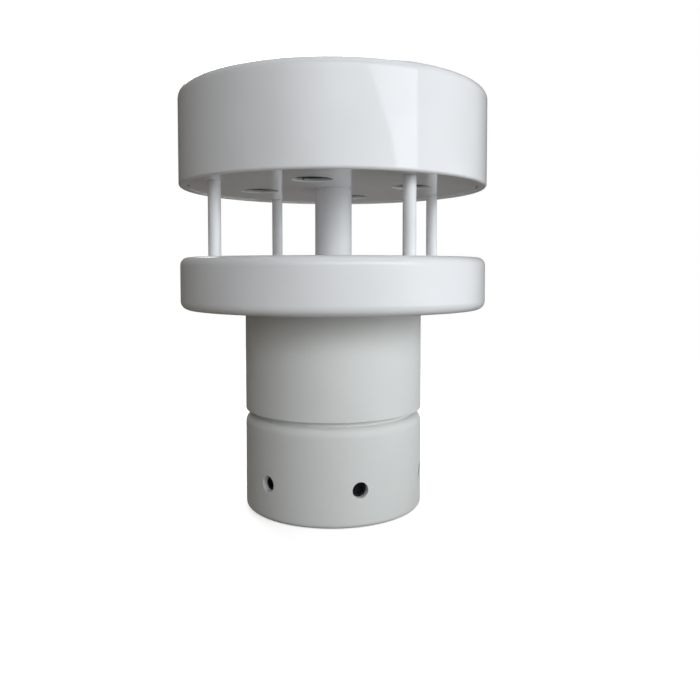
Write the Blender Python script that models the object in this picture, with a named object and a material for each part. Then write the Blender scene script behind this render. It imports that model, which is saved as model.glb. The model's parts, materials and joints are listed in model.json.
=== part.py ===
"""Ultrasonic wind sensor for the top of a pole.

From the bottom up: a pole socket with six grub screws, a neck with the main board in it, a reflector disc,
four posts and a wiring tube, and a head that looks down through four transducers. Sound goes from one
transducer to the reflector and up to another, and the wind in the gap changes how long that takes.

The origin is the centre of the socket's lower face, and +Z runs up the pole's axis. Lengths are in
millimetres and angles in degrees. MM turns a length into Blender's metres as each mesh is made.
"""

import math

import bmesh
import bpy
from mathutils import Matrix

MM = 0.001
WELD = 0.00001  # metres, the distance under which two vertices are one
GAP = 0.3  # clearance kept where two pieces touch on the real sensor

# How finely round pieces are divided.
BIG_SIDES = 48
INNER_SIDES = 32
TUBE_SIDES = 24
SMALL_SIDES = 16
TINY_SIDES = 10
ROUND_STEPS = 2

# Outside sizes.
BODY_RADIUS = 30.0
REFLECTOR_RADIUS = 51.25
HEAD_RADIUS = 51.5
COLLAR_TOP = 31.2
NECK_BOTTOM = 32.8
REFLECTOR_BOTTOM = 66.7
REFLECTOR_TOP = 83.8
HEAD_BOTTOM = 106.9
HEAD_TOP = 137.5
SHELL = 3.0

# Pole socket, for a pole of 48.3 mm.
SOCKET_RADIUS = 24.5
SOCKET_DEPTH = 30.0
SOCKET_CHAMFER = 0.8
COLLAR_FOOT_ROUND = 1.6
GROOVE_RADIUS = 27.2
STOP_RADIUS = 21.0
SPIGOT_RADIUS = 26.2
SPIGOT_TOP = 38.2

# Grub screws, M5 with a 2.5 mm hexagon socket.
GRUB_COUNT = 6
GRUB_HEIGHT = 11.8
GRUB_RADIUS = 2.3
GRUB_LENGTH = 4.0
GRUB_OUTER_FACE = 29.3
GRUB_HEX_FLATS = 2.5
GRUB_HEX_DEPTH = 1.8
GRUB_EDGE = 0.3
GRUB_HOLE_RADIUS = 2.6

# Neck and the floor that closes it.
NECK_THREAD_RADIUS = 26.5
NECK_BORE = 24.5
NECK_SHOULDER = 43.2
NECK_FLANGE = 3.0
NECK_EDGE = 0.6
WIRE_HOLE_RADIUS = 9.5
FLOOR_THICKNESS = 2.8
FLOOR_RADIUS = 26.1
FLOOR_SEAL_INNER = 24.7

# Cable connector under the floor, with its mouth down the pole.
CONNECTOR_RADIUS = 7.9
CONNECTOR_BOTTOM = 26.2
CONNECTOR_TOP = 47.0
CONNECTOR_FLANGE_RADIUS = 10.5
CONNECTOR_FLANGE_BOTTOM = 34.4
CONNECTOR_FLANGE_TOP = 36.6
CONNECTOR_MOUTH_RADIUS = 5.6
CONNECTOR_MOUTH_TOP = 36.5
CONNECTOR_CUP_RADIUS = 6.0
CONNECTOR_CUP_BOTTOM = 39.0
CONNECTOR_NUT_FLATS = 20.0
CONNECTOR_NUT_HEIGHT = 3.4
CONNECTOR_SEAL_RADIUS = 10.3
PIN_COUNT = 4
PIN_CIRCLE = 2.6
PIN_RADIUS = 0.55
PIN_LENGTH = 4.5
PIN_ROOT = 0.6
INSERT_THICKNESS = 2.6

# Main board in the neck.
BOARD_THICKNESS = 1.6
MAIN_BOARD_BOTTOM = 52.0
MAIN_BOARD_RADIUS = 23.5
STANDOFF_COUNT = 3
STANDOFF_CIRCLE = 18.0
STANDOFF_RADIUS = 2.75
PEG_RADIUS = 1.4
PEG_HEAD_RADIUS = 1.65
PEG_HEAD_HEIGHT = 1.4
PEG_HOLE_RADIUS = 1.7
CHIP_SIZE = (10.0, 10.0, 1.2)
CHIP_CENTRE = (-11.0, 8.0)
CAPACITOR_RADIUS = 4.0
CAPACITOR_HEIGHT = 8.0
CAPACITOR_CENTRE = (10.5, 10.5)
CAPACITOR_EDGE = 0.5
HEADER_SIZE = (12.0, 5.5, 4.0)

# Screws that hold the neck and the reflector's base to the reflector.
SCREW_CIRCLE = 20.0
SCREW_RADIUS = 1.5
SCREW_HOLE_RADIUS = 1.8
SCREW_TOP = 76.0
SCREW_HEAD_RADIUS = 2.75
SCREW_HEAD_HEIGHT = 3.0
SCREW_HEX_FLATS = 2.5
SCREW_HEX_DEPTH = 1.5
BOSS_RADIUS = 4.0
BOSS_HOLE_TOP = 77.0

# The plates that close the reflector and the head, each with an O-ring in its rim.
PLATE_THICKNESS = 3.6
RIM_CLEARANCE = 0.3
RING_GROOVE_LIP = 1.0
RING_GROOVE_WIDTH = 1.9
RING_GROOVE_DEPTH = 1.65
HEAD_PLATE_RECESS = 0.4
REFLECTOR_UPPER_ROUND = 2.0
REFLECTOR_LOWER_ROUND = 2.6
HEAD_UPPER_ROUND = 2.2
HEAD_LOWER_ROUND = 1.0

# Posts and wiring tube.
POST_COUNT = 4
POST_CIRCLE = 43.0
POST_RADIUS = 2.0
POST_FIRST_ANGLE = 45.0
STUD_RADIUS = 1.5
STUD_HOLE_RADIUS = 1.8
STUD_BOTTOM = 75.2
STUD_TOP = 116.5
SEAT_DEPTH = 1.0
POST_NUT_FLATS = 5.5
POST_NUT_HEIGHT = 3.2
TUBE_RADIUS = 6.25
TUBE_END_RADIUS = 5.0
TUBE_END_HOLE = 5.3
TUBE_BORE = 3.8
TUBE_BOTTOM = 74.5
TUBE_TOP = 125.0
TUBE_NUT_FLATS = 15.0
TUBE_NUT_HEIGHT = 3.6
PILLAR_RADIUS = 4.6
INSERT_RADIUS = 2.6
INSERT_HOLE_RADIUS = 2.9
INSERT_HEIGHT = 6.0
INSERT_HOLE_TOP = 119.0

# Transducers and the electronics of the head.
TRANSDUCER_COUNT = 4
TRANSDUCER_CIRCLE = 26.6
TRANSDUCER_RADIUS = 5.9
TRANSDUCER_BOTTOM = 108.5
TRANSDUCER_TOP = 118.0
TRANSDUCER_RIM = 1.0
TRANSDUCER_DISH = 0.4
OPENING_RADIUS = 6.2
OPENING_LIP = 1.0
SLEEVE_RADIUS = 7.5
SLEEVE_TOP = 117.5
SLEEVE_POCKET_RADIUS = 7.8
RETAINER_RADIUS = 36.0
RETAINER_THICKNESS = 2.0
RETAINER_POST_CIRCLE = 30.0
RETAINER_POST_RADIUS = 2.5
LEAD_HOLE_RADIUS = 2.0
HEAD_BOARD_BOTTOM = 130.4
HEAD_BOARD_RADIUS = 37.0
HARNESS_RADIUS = 2.6
HARNESS_POINTS = 12

# Heights and radii worked out from the sizes above.
SPIGOT_STEP = NECK_BOTTOM - GAP
NECK_TOP = REFLECTOR_BOTTOM - GAP
NECK_CEILING = NECK_TOP - NECK_FLANGE
FLOOR_BOTTOM = SPIGOT_TOP + GAP
FLOOR_TOP = FLOOR_BOTTOM + FLOOR_THICKNESS
MAIN_BOARD_TOP = MAIN_BOARD_BOTTOM + BOARD_THICKNESS
MAIN_HEADER_BOTTOM = MAIN_BOARD_TOP + GAP
MAIN_HEADER_TOP = MAIN_HEADER_BOTTOM + HEADER_SIZE[2]
REFLECTOR_BORE = REFLECTOR_RADIUS - SHELL
REFLECTOR_CEILING = REFLECTOR_TOP - SHELL
BASE_TOP = REFLECTOR_BOTTOM + PLATE_THICKNESS
HEAD_BORE = HEAD_RADIUS - SHELL
HEAD_CEILING = HEAD_TOP - SHELL
HEAD_PLATE_BOTTOM = HEAD_BOTTOM + HEAD_PLATE_RECESS
HEAD_PLATE_TOP = HEAD_PLATE_BOTTOM + PLATE_THICKNESS
PILLAR_BOTTOM = HEAD_PLATE_TOP + GAP
LOWER_SEAT = REFLECTOR_TOP - SEAT_DEPTH
UPPER_SEAT = HEAD_PLATE_BOTTOM + SEAT_DEPTH
RETAINER_BOTTOM = TRANSDUCER_TOP + GAP
RETAINER_TOP = RETAINER_BOTTOM + RETAINER_THICKNESS
HEAD_HEADER_TOP = HEAD_BOARD_BOTTOM - GAP
HEAD_HEADER_BOTTOM = HEAD_HEADER_TOP - HEADER_SIZE[2]
CUT_PAST = 1.0  # how far a cutter reaches past the face it cuts
CUTTER_TURN = 7.0  # degrees, keeps a round cutter's edges off the edges of the piece it cuts

# Colour, roughness and metallic value of each finish.
FINISHES = {
    "gloss_white": ((0.80, 0.81, 0.82), 0.22, 0.0),
    "matte_grey": ((0.56, 0.58, 0.55), 0.60, 0.0),
    "white_enamel": ((0.78, 0.79, 0.80), 0.30, 0.0),
    "black_steel": ((0.03, 0.03, 0.03), 0.40, 1.0),
    "bright_steel": ((0.62, 0.62, 0.60), 0.30, 1.0),
    "brass": ((0.72, 0.55, 0.25), 0.32, 1.0),
    "transducer_can": ((0.10, 0.10, 0.11), 0.45, 0.6),
    "black_rubber": ((0.03, 0.03, 0.03), 0.80, 0.0),
    "board_green": ((0.03, 0.20, 0.10), 0.45, 0.0),
    "black_plastic": ((0.03, 0.03, 0.03), 0.50, 0.0),
    "white_nylon": ((0.75, 0.74, 0.70), 0.55, 0.0),
    "wire_grey": ((0.20, 0.20, 0.21), 0.60, 0.0),
}


def clear_scene():
    for obj in list(bpy.data.objects):
        bpy.data.objects.remove(obj)


def finish(name):
    """The material of that finish, made the first time that it is asked for."""
    material = bpy.data.materials.get(name)
    if material:
        return material
    colour, roughness, metallic = FINISHES[name]
    material = bpy.data.materials.new(name)
    material.use_nodes = True
    material.diffuse_color = (*colour, 1.0)
    shader = material.node_tree.nodes["Principled BSDF"]
    shader.inputs["Base Color"].default_value = (*colour, 1.0)
    shader.inputs["Roughness"].default_value = roughness
    shader.inputs["Metallic"].default_value = metallic
    return material


def angles(count, first=0.0):
    """Angles in degrees of so many places spaced evenly round the axis."""
    return [first + 360.0 * i / count for i in range(count)]


def on_circle(radius, angle, height=0.0):
    turn = math.radians(angle)
    return (radius * math.cos(turn), radius * math.sin(turn), height)


def arc(centre, radius, start, end, steps=ROUND_STEPS):
    """Points on a round edge about centre, from one angle to another, both ends included."""
    points = []
    for i in range(steps + 1):
        turn = math.radians(start + (end - start) * i / steps)
        points.append((centre[0] + radius * math.cos(turn), centre[1] + radius * math.sin(turn)))
    return points


def hexagon(flats):
    """Corner radius of a hexagon that measures flats across."""
    return flats / 2 / math.cos(math.radians(30))


def place(name, shape, material=None, position=(0, 0, 0), turn=0.0):
    """Makes an object of a bmesh, at position and turned about Z. Without a material it is only a tool."""
    bmesh.ops.recalc_face_normals(shape, faces=shape.faces)
    mesh = bpy.data.meshes.new(name)
    shape.to_mesh(mesh)
    shape.free()
    mesh.shade_smooth()
    mesh.set_sharp_from_angle(angle=math.radians(30))
    obj = bpy.data.objects.new(name, mesh)
    bpy.context.scene.collection.objects.link(obj)
    obj.location = [length * MM for length in position]
    obj.rotation_euler.z = math.radians(turn)
    if material:
        mesh.materials.append(finish(material))
    else:
        obj.hide_render = True
        obj.display_type = "WIRE"
    return obj


def spun(outline, sides):
    """A turned shape: the outline of (radius, height) points spun round Z.

    The outline closes on itself, unless both of its ends are on the axis.
    """
    shape = bmesh.new()
    points = [shape.verts.new((radius * MM, 0, height * MM)) for radius, height in outline]
    on_axis = outline[0][0] == 0 and outline[-1][0] == 0
    followers = points[1:] if on_axis else points[1:] + points[:1]
    edges = [shape.edges.new(pair) for pair in zip(points, followers)]
    bmesh.ops.spin(
        shape,
        geom=points + edges,
        cent=(0, 0, 0),
        axis=(0, 0, 1),
        angle=math.tau,
        steps=sides,
        use_merge=True,
    )
    bmesh.ops.remove_doubles(shape, verts=shape.verts, dist=WELD)
    return shape


def rod(radius, bottom, top, sides=TINY_SIDES):
    return spun([(0, bottom), (radius, bottom), (radius, top), (0, top)], sides)


def ring(inner, outer, bottom, top, sides):
    return spun([(inner, bottom), (outer, bottom), (outer, top), (inner, top)], sides)


def prism(outline, bottom, top):
    """An upright piece with the flat outline of (x, y) points."""
    shape = bmesh.new()
    face = shape.faces.new([shape.verts.new((x * MM, y * MM, bottom * MM)) for x, y in outline])
    raised = bmesh.ops.extrude_face_region(shape, geom=[face])["geom"]
    corners = [part for part in raised if isinstance(part, bmesh.types.BMVert)]
    bmesh.ops.translate(shape, verts=corners, vec=(0, 0, (top - bottom) * MM))
    return shape


def block(size, bottom):
    half_x, half_y = size[0] / 2, size[1] / 2
    outline = [(-half_x, -half_y), (half_x, -half_y), (half_x, half_y), (-half_x, half_y)]
    return prism(outline, bottom, bottom + size[2])


def hexagonal(flats, bottom, top):
    outline = [on_circle(hexagon(flats), angle)[:2] for angle in angles(6)]
    return prism(outline, bottom, top)


def laid_down(shape, turn=0.0):
    """Turns an upright shape about its own axis, then lays it down with its top towards +X."""
    laying = Matrix.Rotation(math.radians(90), 4, "Y") @ Matrix.Rotation(math.radians(turn), 4, "Z")
    bmesh.ops.transform(shape, matrix=laying, verts=shape.verts)
    return shape


def boolean(obj, tool, operation):
    modifier = obj.modifiers.new(f"{operation.lower()} {tool.name}", "BOOLEAN")
    modifier.operation = operation
    modifier.solver = "EXACT"
    modifier.object = tool


def cut(obj, tool):
    boolean(obj, tool, "DIFFERENCE")


def join(obj, tool):
    boolean(obj, tool, "UNION")


def cut_round(obj, label, outline, places, sides=TINY_SIDES):
    """Cuts the same turned hole at each of the places, given as (x, y, z)."""
    for number, position in enumerate(places, 1):
        name = f"{obj.name}_{label}_{number}"
        cut(obj, place(name, spun(outline, sides), position=position, turn=CUTTER_TURN))


def straight(radius, bottom, top):
    """Outline of a plain round hole."""
    return [(0, bottom), (radius, bottom), (radius, top), (0, top)]


def stepped(lower_radius, upper_radius, bottom, step, top):
    """Outline of a round hole that changes its radius at the step."""
    lower = [(0, bottom), (lower_radius, bottom), (lower_radius, step)]
    return [*lower, (upper_radius, step), (upper_radius, top), (0, top)]


def nut(name, flats, hole, bottom, height, position=(0, 0, 0)):
    top = bottom + height
    obj = place(name, hexagonal(flats, bottom, top), "bright_steel", position)
    cut_round(obj, "hole", straight(hole, bottom - CUT_PAST, top + CUT_PAST), [position], SMALL_SIDES)


def mounting_collar():
    foot = COLLAR_FOOT_ROUND
    lip = BODY_RADIUS - GROOVE_RADIUS
    outline = [
        (SOCKET_RADIUS, SOCKET_CHAMFER),
        (SOCKET_RADIUS + SOCKET_CHAMFER, 0),
        *arc((BODY_RADIUS - foot, foot), foot, -90, 0),
        *arc((GROOVE_RADIUS, COLLAR_TOP - lip), lip, 0, 90),
        (GROOVE_RADIUS, SPIGOT_STEP),
        (SPIGOT_RADIUS, SPIGOT_STEP),
        (SPIGOT_RADIUS, SPIGOT_TOP),
        (STOP_RADIUS, SPIGOT_TOP),
        (STOP_RADIUS, SOCKET_DEPTH),
        (SOCKET_RADIUS, SOCKET_DEPTH),
    ]
    collar = place("mounting_collar", spun(outline, BIG_SIDES), "matte_grey")
    reach = BODY_RADIUS + CUT_PAST
    for number, angle in enumerate(angles(GRUB_COUNT)[: GRUB_COUNT // 2], 1):
        drill = laid_down(rod(GRUB_HOLE_RADIUS, -reach, reach, SMALL_SIDES), CUTTER_TURN)
        cut(collar, place(f"grub_drill_{number}", drill, position=(0, 0, GRUB_HEIGHT), turn=angle))


def grub_screws():
    """Each screw's origin is in the middle of its outer face, with the screw along its own -X."""
    length, edge = GRUB_LENGTH, GRUB_EDGE
    outline = [
        (0, -length),
        (GRUB_RADIUS - edge, -length),
        (GRUB_RADIUS, -length + edge),
        (GRUB_RADIUS, -edge),
        (GRUB_RADIUS - edge, 0),
        (0, 0),
    ]
    for number, angle in enumerate(angles(GRUB_COUNT), 1):
        position = on_circle(GRUB_OUTER_FACE, angle, GRUB_HEIGHT)
        body = laid_down(spun(outline, TINY_SIDES))
        screw = place(f"grub_screw_{number}", body, "black_steel", position, angle)
        socket = laid_down(hexagonal(GRUB_HEX_FLATS, -GRUB_HEX_DEPTH, CUT_PAST), CUTTER_TURN)
        cut(screw, place(f"grub_socket_{number}", socket, None, position, angle))


def neck_housing():
    edge = NECK_EDGE
    outline = [
        (NECK_THREAD_RADIUS, NECK_BOTTOM),
        (BODY_RADIUS - edge, NECK_BOTTOM),
        (BODY_RADIUS, NECK_BOTTOM + edge),
        (BODY_RADIUS, NECK_TOP),
        (WIRE_HOLE_RADIUS, NECK_TOP),
        (WIRE_HOLE_RADIUS, NECK_CEILING),
        (NECK_BORE, NECK_CEILING),
        (NECK_BORE, NECK_SHOULDER),
        (NECK_THREAD_RADIUS, NECK_SHOULDER),
    ]
    neck = place("neck_housing", spun(outline, BIG_SIDES), "matte_grey")
    hole = straight(SCREW_HOLE_RADIUS, NECK_CEILING - CUT_PAST, NECK_TOP + CUT_PAST)
    cut_round(neck, "screw_hole", hole, [on_circle(SCREW_CIRCLE, angle) for angle in angles(4)])


def neck_floor():
    shape = ring(CONNECTOR_RADIUS + GAP, FLOOR_RADIUS, FLOOR_BOTTOM, FLOOR_TOP, INNER_SIDES)
    place("neck_floor", shape, "matte_grey")
    seal = ring(FLOOR_SEAL_INNER, FLOOR_RADIUS, FLOOR_TOP + GAP, NECK_SHOULDER - GAP, INNER_SIDES)
    place("floor_seal", seal, "black_rubber")


def cable_connector():
    outline = [
        (CONNECTOR_MOUTH_RADIUS, CONNECTOR_BOTTOM),
        (CONNECTOR_RADIUS, CONNECTOR_BOTTOM),
        (CONNECTOR_RADIUS, CONNECTOR_FLANGE_BOTTOM),
        (CONNECTOR_FLANGE_RADIUS, CONNECTOR_FLANGE_BOTTOM),
        (CONNECTOR_FLANGE_RADIUS, CONNECTOR_FLANGE_TOP),
        (CONNECTOR_RADIUS, CONNECTOR_FLANGE_TOP),
        (CONNECTOR_RADIUS, CONNECTOR_TOP),
        (CONNECTOR_CUP_RADIUS, CONNECTOR_TOP),
        (CONNECTOR_CUP_RADIUS, CONNECTOR_CUP_BOTTOM),
        (0, CONNECTOR_CUP_BOTTOM),
    ]
    closed = [(0, CONNECTOR_MOUTH_TOP), (CONNECTOR_MOUTH_RADIUS, CONNECTOR_MOUTH_TOP), *outline]
    place("cable_connector", spun(closed, TUBE_SIDES), "bright_steel")
    seal_bottom, seal_top = CONNECTOR_FLANGE_TOP + GAP, FLOOR_BOTTOM - GAP
    seal = ring(CONNECTOR_RADIUS + GAP, CONNECTOR_SEAL_RADIUS, seal_bottom, seal_top, TUBE_SIDES)
    place("connector_seal", seal, "black_rubber")
    hole, nut_bottom = CONNECTOR_RADIUS + GAP, FLOOR_TOP + GAP
    nut("connector_nut", CONNECTOR_NUT_FLATS, hole, nut_bottom, CONNECTOR_NUT_HEIGHT)


def connector_insert():
    top = CONNECTOR_MOUTH_TOP - GAP
    bottom = top - INSERT_THICKNESS
    plug = rod(CONNECTOR_MOUTH_RADIUS - GAP, bottom, top, SMALL_SIDES)
    insert = place("connector_insert", plug, "black_plastic")
    for number, angle in enumerate(angles(PIN_COUNT, 45.0), 1):
        pin = rod(PIN_RADIUS, bottom - PIN_LENGTH, bottom + PIN_ROOT, TINY_SIDES // 2)
        join(insert, place(f"connector_pin_{number}", pin, position=on_circle(PIN_CIRCLE, angle)))


def board(name, radius, bottom, peg_circle, peg_angles):
    top = bottom + BOARD_THICKNESS
    obj = place(name, rod(radius, bottom, top, INNER_SIDES), "board_green")
    hole = straight(PEG_HOLE_RADIUS, bottom - CUT_PAST, top + CUT_PAST)
    cut_round(obj, "peg_hole", hole, [on_circle(peg_circle, angle) for angle in peg_angles])


def peg_outline(foot, shoulder, body_radius, board_top):
    """Outline of an upright pillar with a peg that goes through a board and a snap head over it."""
    head = board_top + GAP
    return [
        (0, foot),
        (body_radius, foot),
        (body_radius, shoulder),
        (PEG_RADIUS, shoulder),
        (PEG_RADIUS, head),
        (PEG_HEAD_RADIUS, head),
        (PEG_RADIUS, head + PEG_HEAD_HEIGHT),
        (0, head + PEG_HEAD_HEIGHT),
    ]


def main_board():
    standoff_angles = angles(STANDOFF_COUNT, 90.0)
    board("main_board", MAIN_BOARD_RADIUS, MAIN_BOARD_BOTTOM, STANDOFF_CIRCLE, standoff_angles)
    outline = peg_outline(FLOOR_TOP + GAP, MAIN_BOARD_BOTTOM - GAP, STANDOFF_RADIUS, MAIN_BOARD_TOP)
    for number, angle in enumerate(standoff_angles, 1):
        position = on_circle(STANDOFF_CIRCLE, angle)
        place(f"board_standoff_{number}", spun(outline, TINY_SIDES), "white_nylon", position)


def board_components():
    bottom = MAIN_BOARD_TOP + GAP
    place("processor_chip", block(CHIP_SIZE, bottom), "black_plastic", (*CHIP_CENTRE, 0))
    top, radius, edge = bottom + CAPACITOR_HEIGHT, CAPACITOR_RADIUS, CAPACITOR_EDGE
    outline = [(0, bottom), (radius, bottom), (radius, top - edge), (radius - edge, top), (0, top)]
    place("power_capacitor", spun(outline, SMALL_SIDES), "black_plastic", (*CAPACITOR_CENTRE, 0))
    place("harness_header", block(HEADER_SIZE, MAIN_HEADER_BOTTOM), "white_nylon")


def neck_screws():
    head_top = NECK_CEILING - GAP
    head_bottom = head_top - SCREW_HEAD_HEIGHT
    outline = [
        (0, head_bottom),
        (SCREW_HEAD_RADIUS, head_bottom),
        (SCREW_HEAD_RADIUS, head_top),
        (SCREW_RADIUS, head_top),
        (SCREW_RADIUS, SCREW_TOP),
        (0, SCREW_TOP),
    ]
    for number, angle in enumerate(angles(4), 1):
        position = on_circle(SCREW_CIRCLE, angle)
        screw = place(f"neck_screw_{number}", spun(outline, TINY_SIDES), "bright_steel", position)
        socket = hexagonal(SCREW_HEX_FLATS, head_bottom - CUT_PAST, head_bottom + SCREW_HEX_DEPTH)
        cut(screw, place(f"neck_screw_socket_{number}", socket, position=position))


def rim_outline(radius, bottom, top):
    """The rim of a closing plate, from bottom to top, with the groove for its O-ring."""
    groove_bottom = bottom + RING_GROOVE_LIP
    groove_top = groove_bottom + RING_GROOVE_WIDTH
    groove_radius = radius - RING_GROOVE_DEPTH
    return [
        (radius, bottom),
        (radius, groove_bottom),
        (groove_radius, groove_bottom),
        (groove_radius, groove_top),
        (radius, groove_top),
        (radius, top),
    ]


def rim_seal(name, radius, plate_bottom):
    bottom = plate_bottom + RING_GROOVE_LIP + GAP
    top = plate_bottom + RING_GROOVE_LIP + RING_GROOVE_WIDTH - GAP
    place(name, ring(radius - RING_GROOVE_DEPTH + GAP, radius, bottom, top, INNER_SIDES), "black_rubber")


def reflector_base():
    radius = REFLECTOR_BORE - RIM_CLEARANCE
    outline = [
        (WIRE_HOLE_RADIUS, REFLECTOR_BOTTOM),
        *rim_outline(radius, REFLECTOR_BOTTOM, BASE_TOP),
        (WIRE_HOLE_RADIUS, BASE_TOP),
    ]
    base = place("reflector_base", spun(outline, BIG_SIDES), "gloss_white")
    hole = straight(SCREW_HOLE_RADIUS, REFLECTOR_BOTTOM - CUT_PAST, BASE_TOP + CUT_PAST)
    cut_round(base, "screw_hole", hole, [on_circle(SCREW_CIRCLE, angle) for angle in angles(4)])
    rim_seal("reflector_seal", radius, REFLECTOR_BOTTOM)


def reflector_disc():
    upper, lower = REFLECTOR_UPPER_ROUND, REFLECTOR_LOWER_ROUND
    outline = [
        (REFLECTOR_BORE, REFLECTOR_BOTTOM),
        *arc((REFLECTOR_RADIUS - lower, REFLECTOR_BOTTOM + lower), lower, -90, 0),
        *arc((REFLECTOR_RADIUS - upper, REFLECTOR_TOP - upper), upper, 0, 90),
        (TUBE_RADIUS + GAP, REFLECTOR_TOP),
        (TUBE_RADIUS + GAP, LOWER_SEAT),
        (TUBE_END_HOLE, LOWER_SEAT),
        (TUBE_END_HOLE, REFLECTOR_CEILING),
        (REFLECTOR_BORE, REFLECTOR_CEILING),
    ]
    disc = place("reflector_disc", spun(outline, BIG_SIDES), "gloss_white")
    boss_bottom = BASE_TOP + GAP
    bosses = [on_circle(SCREW_CIRCLE, angle) for angle in angles(4)]
    for number, position in enumerate(bosses, 1):
        boss = rod(BOSS_RADIUS, boss_bottom, REFLECTOR_CEILING + CUT_PAST)
        join(disc, place(f"reflector_boss_{number}", boss, position=position))
    cut_round(disc, "boss_hole", straight(SCREW_HOLE_RADIUS, boss_bottom - CUT_PAST, BOSS_HOLE_TOP), bosses)
    seat_radius = POST_RADIUS + GAP
    hole_bottom = REFLECTOR_CEILING - CUT_PAST
    seat = stepped(STUD_HOLE_RADIUS, seat_radius, hole_bottom, LOWER_SEAT, REFLECTOR_TOP + CUT_PAST)
    cut_round(disc, "post_seat", seat, post_places())


def post_places():
    return [on_circle(POST_CIRCLE, angle) for angle in angles(POST_COUNT, POST_FIRST_ANGLE)]


def posts():
    shoulder_bottom, shoulder_top = LOWER_SEAT + GAP, UPPER_SEAT - GAP
    outline = [
        (0, STUD_BOTTOM),
        (STUD_RADIUS, STUD_BOTTOM),
        (STUD_RADIUS, shoulder_bottom),
        (POST_RADIUS, shoulder_bottom),
        (POST_RADIUS, shoulder_top),
        (STUD_RADIUS, shoulder_top),
        (STUD_RADIUS, STUD_TOP),
        (0, STUD_TOP),
    ]
    nut_bottom = REFLECTOR_CEILING - GAP - POST_NUT_HEIGHT
    insert_bottom = PILLAR_BOTTOM + GAP
    insert_top = insert_bottom + INSERT_HEIGHT
    for number, position in enumerate(post_places(), 1):
        place(f"post_{number}", spun(outline, SMALL_SIDES), "white_enamel", position)
        name = f"post_nut_{number}"
        nut(name, POST_NUT_FLATS, STUD_HOLE_RADIUS, nut_bottom, POST_NUT_HEIGHT, position)
        sleeve = ring(STUD_HOLE_RADIUS, INSERT_RADIUS, insert_bottom, insert_top, SMALL_SIDES)
        place(f"post_insert_{number}", sleeve, "brass", position)


def center_tube():
    outline = [
        (TUBE_BORE, TUBE_BOTTOM),
        (TUBE_END_RADIUS, TUBE_BOTTOM),
        (TUBE_END_RADIUS, LOWER_SEAT + GAP),
        (TUBE_RADIUS, LOWER_SEAT + GAP),
        (TUBE_RADIUS, UPPER_SEAT - GAP),
        (TUBE_END_RADIUS, UPPER_SEAT - GAP),
        (TUBE_END_RADIUS, TUBE_TOP),
        (TUBE_BORE, TUBE_TOP),
    ]
    place("center_tube", spun(outline, TUBE_SIDES), "white_enamel")
    lower_bottom = REFLECTOR_CEILING - GAP - TUBE_NUT_HEIGHT
    for name, bottom in (("tube_lower_nut", lower_bottom), ("tube_upper_nut", RETAINER_TOP + GAP)):
        nut(name, TUBE_NUT_FLATS, TUBE_END_HOLE, bottom, TUBE_NUT_HEIGHT)


def head_plate():
    radius = HEAD_BORE - RIM_CLEARANCE
    outline = [
        (TUBE_RADIUS + GAP, HEAD_PLATE_BOTTOM),
        *rim_outline(radius, HEAD_PLATE_BOTTOM, HEAD_PLATE_TOP),
        (TUBE_END_HOLE, HEAD_PLATE_TOP),
        (TUBE_END_HOLE, UPPER_SEAT),
        (TUBE_RADIUS + GAP, UPPER_SEAT),
    ]
    plate = place("head_plate", spun(outline, BIG_SIDES), "gloss_white")
    below, above = HEAD_PLATE_BOTTOM - CUT_PAST, HEAD_PLATE_TOP + CUT_PAST
    lip_top = HEAD_PLATE_BOTTOM + OPENING_LIP
    opening = stepped(OPENING_RADIUS, SLEEVE_POCKET_RADIUS, below, lip_top, above)
    cut_round(plate, "opening", opening, transducer_places(), SMALL_SIDES)
    seat = stepped(POST_RADIUS + GAP, STUD_HOLE_RADIUS, below, UPPER_SEAT, above)
    cut_round(plate, "post_seat", seat, post_places())
    rim_seal("head_seal", radius, HEAD_PLATE_BOTTOM)


def pillar_outline():
    """A pillar that stands in from the cap's wall: half round inside, and straight out into the wall."""
    reach = HEAD_BORE + SHELL / 2
    rounded = arc((POST_CIRCLE, 0), PILLAR_RADIUS, 270, 90, TINY_SIDES // 2)
    return [(reach, -PILLAR_RADIUS), *rounded, (reach, PILLAR_RADIUS)]


def head_cap():
    upper, lower = HEAD_UPPER_ROUND, HEAD_LOWER_ROUND
    outline = [
        (0, HEAD_CEILING),
        (HEAD_BORE, HEAD_CEILING),
        (HEAD_BORE, HEAD_BOTTOM),
        *arc((HEAD_RADIUS - lower, HEAD_BOTTOM + lower), lower, -90, 0),
        *arc((HEAD_RADIUS - upper, HEAD_TOP - upper), upper, 0, 90),
        (0, HEAD_TOP),
    ]
    cap = place("head_cap", spun(outline, BIG_SIDES), "gloss_white")
    for number, angle in enumerate(angles(POST_COUNT, POST_FIRST_ANGLE), 1):
        pillar = prism(pillar_outline(), PILLAR_BOTTOM, HEAD_CEILING + CUT_PAST)
        join(cap, place(f"cap_pillar_{number}", pillar, turn=angle))
    hole = straight(INSERT_HOLE_RADIUS, PILLAR_BOTTOM - CUT_PAST, INSERT_HOLE_TOP)
    cut_round(cap, "insert_hole", hole, post_places(), SMALL_SIDES)


def transducer_places():
    return [on_circle(TRANSDUCER_CIRCLE, angle) for angle in angles(TRANSDUCER_COUNT)]


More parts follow.
